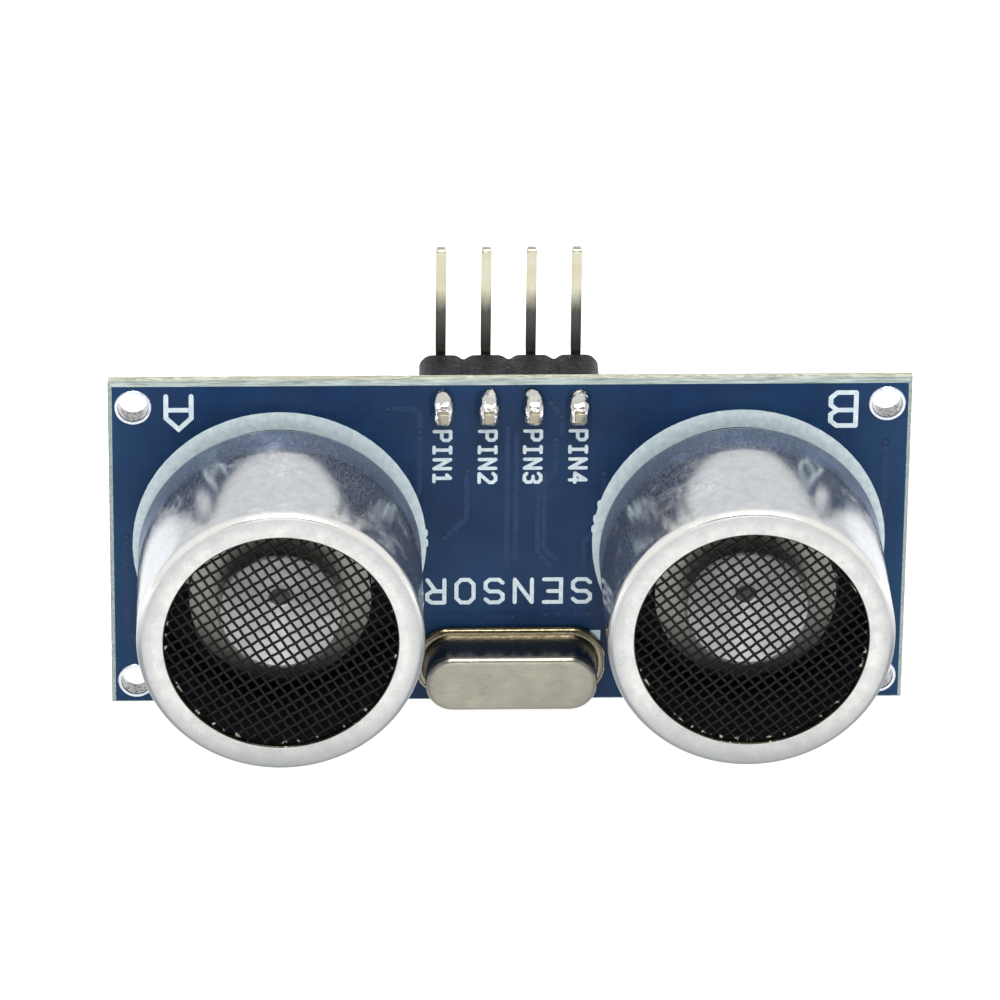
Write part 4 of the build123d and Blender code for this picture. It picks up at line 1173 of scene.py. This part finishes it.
def make_back_joints(node, name, lead_radius, seed):
    """Round joints on the back, one round each lead of a through-hole part."""
    shape = Shape()
    for index, (low, high) in enumerate(island_boxes(node)):
        middle = (low + high) / 2
        half = (high.x - low.x) / 2
        add_mound(shape, (middle.x, BACK_Y, middle.z), (half, half), (lead_radius, lead_radius),
                  high.y - BACK_Y, 1, seed + index, curve=2.4, lump=0.08, segments=36)
    return shape.piece(name, JOINT_SOLDER, "solder", (node,), 70.0)


FOOT_INSET = 0.22           # from a lead's toe to the middle of its fillet


def make_surface_mount_solder():
    """A fillet at every gull-wing foot, up every chip part's end cap and round each pin."""
    shape = Shape()
    seed = 100
    for part in [*CHIPS, "transistor"]:
        for low, high, axis, side in leads(part):
            toe = (high if side > 0 else low)[axis]
            x, z = in_x_z(axis, toe - side * FOOT_INSET, ((low + high) / 2)[2 - axis])
            base, top = in_x_z(axis, 0.55, 0.29), in_x_z(axis, 0.24, 0.2)
            add_mound(shape, (x, BACK_Y, z), base, top, 0.2, 1, seed, 1.6, 0.05, 20)
            seed += 1
    for kind in ("resistor", "capacitor"):
        bodies = [(low + high) / 2 for low, high in island_boxes(f"{kind}_bodies")]
        for low, high in island_boxes(f"{kind}_end_caps"):
            cap, half = (low + high) / 2, (high - low) / 2
            outward = cap - min(bodies, key=lambda middle: (middle - cap).length)
            outward.y = 0
            outward.normalize()
            spot = cap + outward * 0.12
            base = (half.x + 0.1 + 0.16 * abs(outward.x), half.z + 0.1 + 0.16 * abs(outward.z))
            add_mound(shape, (spot.x, BACK_Y, spot.z), base, (half.x * 0.9, half.z * 0.9),
                      (high.y - BACK_Y) * 0.62, 1, seed, 2.4, 0.05, 24)
            seed += 1
    for seed, pin in enumerate(PINS, start=31):
        spot = (centre_mm(pin).x, BACK_Y, centre_mm("header_body").z)
        add_mound(shape, spot, (0.62, 0.62), (0.3, 0.3), 0.09, 1, seed)
    return shape.piece("surface_mount_fillets", FLOW_SOLDER, "solder",
                       ("surface_mount_solder",), 70.0)


def make_adhesive(name, seed):
    """The uneven drop of glue in the cone's apex."""
    low, high = box_mm(f"{name}_cone_adhesive")
    middle = (low + high) / 2
    shape = Shape()
    add_mound(shape, (middle.x, high.y, middle.z + 0.2), (0.66, 0.54), (0.12, 0.1),
              (high.y - low.y) * 1.1, -1, seed, curve=0.5, lump=0.16, segments=32)
    return shape.piece(f"{name}_glue_drop", ADHESIVE, "adhesive",
                       (f"{name}_cone_adhesive",), 80.0)


# ---------------------------------------------------------------- all pieces


# Materials of the CAD nodes that keep their own mesh, and of those that every transducer has.
NODE_LOOKS = {
    "board": BOARD_LOOK,
    "corner_hole_plating": PAD_TIN,
    "crystal_base": CRYSTAL,
    "crystal_glass_seals": SEAL_GLASS,
    "crystal_leads": TIN,
    "crystal_quartz_blank": QUARTZ,
    "crystal_clips": TIN,
}
TRANSDUCER_LOOKS = {
    "base": BASE_PLASTIC,
    "silicone_ring": SILICONE,
    "vibration_disc": DISC_METAL,
    "piezo_disc": PIEZO,
    "cone": CONE_METAL,
    "terminals": TIN,
    "lead_wires": COPPER_WIRE,
}
# Small parts with broken edges: material, slot and the width of the bevel.
BEVELLED = {
    "transistor_body": (CHIP_RESIN, "chip_resin", 0.05),
    "transistor_leads": (TIN, "tinned_lead", 0.03),
    "resistor_bodies": (RESISTOR_GLAZE, "resistor_body", 0.03),
    "resistor_end_caps": (TIN, "solder", 0.04),
    "capacitor_bodies": (CAPACITOR_CERAMIC, "capacitor_body", 0.05),
    "capacitor_end_caps": (TIN, "solder", 0.07),
}


def make_pieces():
    """Every piece and every carried-over CAD node, with its material."""
    for node, material in NODE_LOOKS.items():
        painted(node, material)
    make_board_edge()
    make_front_ink()
    make_copper("front", FRONT_Y, -1, FRONT_VIAS, FRONT_TRACKS, 0.28)
    make_back_ink()
    make_copper("back", BACK_Y, 1, *back_vias_and_tracks(), 0.25)
    for seed, name in enumerate(TRANSDUCERS):
        make_can(name)
        make_screen(name, seed + 40)
        make_adhesive(name, seed + 50)
        for part, material in TRANSDUCER_LOOKS.items():
            painted(f"{name}_{part}", material)
    make_crystal_cover()
    softened("header_body", HEADER_PLASTIC, 0.3, 5, only_along_y=True)
    for pin in PINS:
        softened(pin, PIN, 0.025)
    for chip in CHIPS:
        softened(f"{chip}_body", CHIP_RESIN, 0.06)
        softened(f"{chip}_leads", TIN, 0.03)
        painted(f"{chip}_die", SILICON)
    for node, (material, slot, width) in BEVELLED.items():
        softened(node, material, width)
    make_header_joints()
    make_back_joints("transducer_solder_joints", "transducer_joints_back", 0.3, 60)
    make_back_joints("crystal_solder_joints", "crystal_joints_back", 0.215, 70)
    make_surface_mount_solder()


make_pieces()


# ---------------------------------------------------------------- floor, light and camera

CAMERA_AZIMUTH = -2.1715    # degrees; the camera stands a little to the left
CAMERA_ELEVATION = 26.419
CAMERA_ROLL = 0.613
CAMERA_DISTANCE = 417.3     # millimetres from the point that it looks at
CAMERA_LENS = 267.07        # on a 36 mm sensor
LOOK_AT = Vector((-0.546, FRONT_Y, 2.713))
WORLD_BRIGHTNESS = 0.92
PATCH_BRIGHTNESS = 0.25     # of the dim patch of sky that the camera stands in
PATCH_ANGLES = (28, 10)     # degrees off its middle where the patch starts and is full


def make_floor():
    """A plain white floor under the board's lower edge."""
    look = Look("white_floor", (240, 240, 240), 0.6, Specular_IOR_Level=0.1)
    look.paint(look.mix(look.noise(0.02, 3.0), (156, 156, 156), (164, 164, 164)))
    look.shader.inputs["Emission Color"].default_value = (1, 1, 1, 1)
    look.shader.inputs["Emission Strength"].default_value = 0.93
    half = 4.0
    mesh = bpy.data.meshes.new("floor")
    corners = [(-half, -half, 0), (half, -half, 0), (half, half, 0), (-half, half, 0)]
    mesh.from_pydata(corners, [], [(0, 1, 2, 3)])
    mesh.materials.append(look.material)
    floor = add_object("floor", mesh)
    floor.location.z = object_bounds()[0].z


def make_world():
    """White all round, with a dim patch in front where the camera looks in."""
    world = bpy.data.worlds.new("studio")
    bpy.context.scene.world = world
    world.use_nodes = True
    tree = world.node_tree
    rise = math.radians(CAMERA_ELEVATION)
    place = add_node(tree, "TexCoord", "Generated", {})
    to_camera = (0, -math.cos(rise), math.sin(rise))
    towards = add_node(tree, "VectorMath", "Value", {0: place, 1: to_camera},
                       operation="DOT_PRODUCT")
    start, full = (math.cos(math.radians(angle)) for angle in PATCH_ANGLES)
    limits = {"From Min": start, "From Max": full}
    limits |= {"To Min": WORLD_BRIGHTNESS, "To Max": PATCH_BRIGHTNESS}
    level = add_node(tree, "MapRange", "Result", {"Value": towards, **limits},
                     interpolation_type="SMOOTHSTEP")
    background = tree.nodes["Background"]
    background.inputs["Color"].default_value = (1, 1, 1, 1)
    tree.links.new(level, background.inputs["Strength"])


def make_light(name, place, size, power):
    """A soft square light aimed at the part."""
    data = bpy.data.lights.new(name, "AREA")
    data.size = size
    data.energy = power
    light = add_object(name, data)
    light.location = place
    light.rotation_mode = "QUATERNION"
    light.rotation_quaternion = (-Vector(place)).to_track_quat("-Z", "Y")


def make_camera():
    """The camera looks down at the front from a little to the left."""
    azimuth = math.radians(-CAMERA_AZIMUTH)
    elevation = math.radians(CAMERA_ELEVATION)
    forward = Vector((
        math.sin(azimuth) * math.cos(elevation),
        math.cos(azimuth) * math.cos(elevation),
        -math.sin(elevation),
    ))
    level = Vector((math.cos(azimuth), -math.sin(azimuth), 0))
    above = level.cross(forward)
    roll = math.radians(CAMERA_ROLL)
    right = level * math.cos(roll) + above * math.sin(roll)
    up = above * math.cos(roll) - level * math.sin(roll)
    data = bpy.data.cameras.new("camera")
    data.lens = CAMERA_LENS
    data.sensor_width = 36
    data.clip_start = 0.01
    camera = add_object("camera", data)
    turn = Matrix((right, up, -forward)).transposed().to_4x4()
    camera.matrix_world = Matrix.Translation((LOOK_AT - forward * CAMERA_DISTANCE) * MM) @ turn
    bpy.context.scene.camera = camera


make_floor()
make_world()
make_light("soft_overhead", (0.06, -0.42, 0.76), 0.5, 7.0)
make_light("low_front_fill", (0.0, -0.9, 0.16), 0.3, 0.9)
make_camera()
bpy.context.scene.view_settings.view_transform = "Standard"
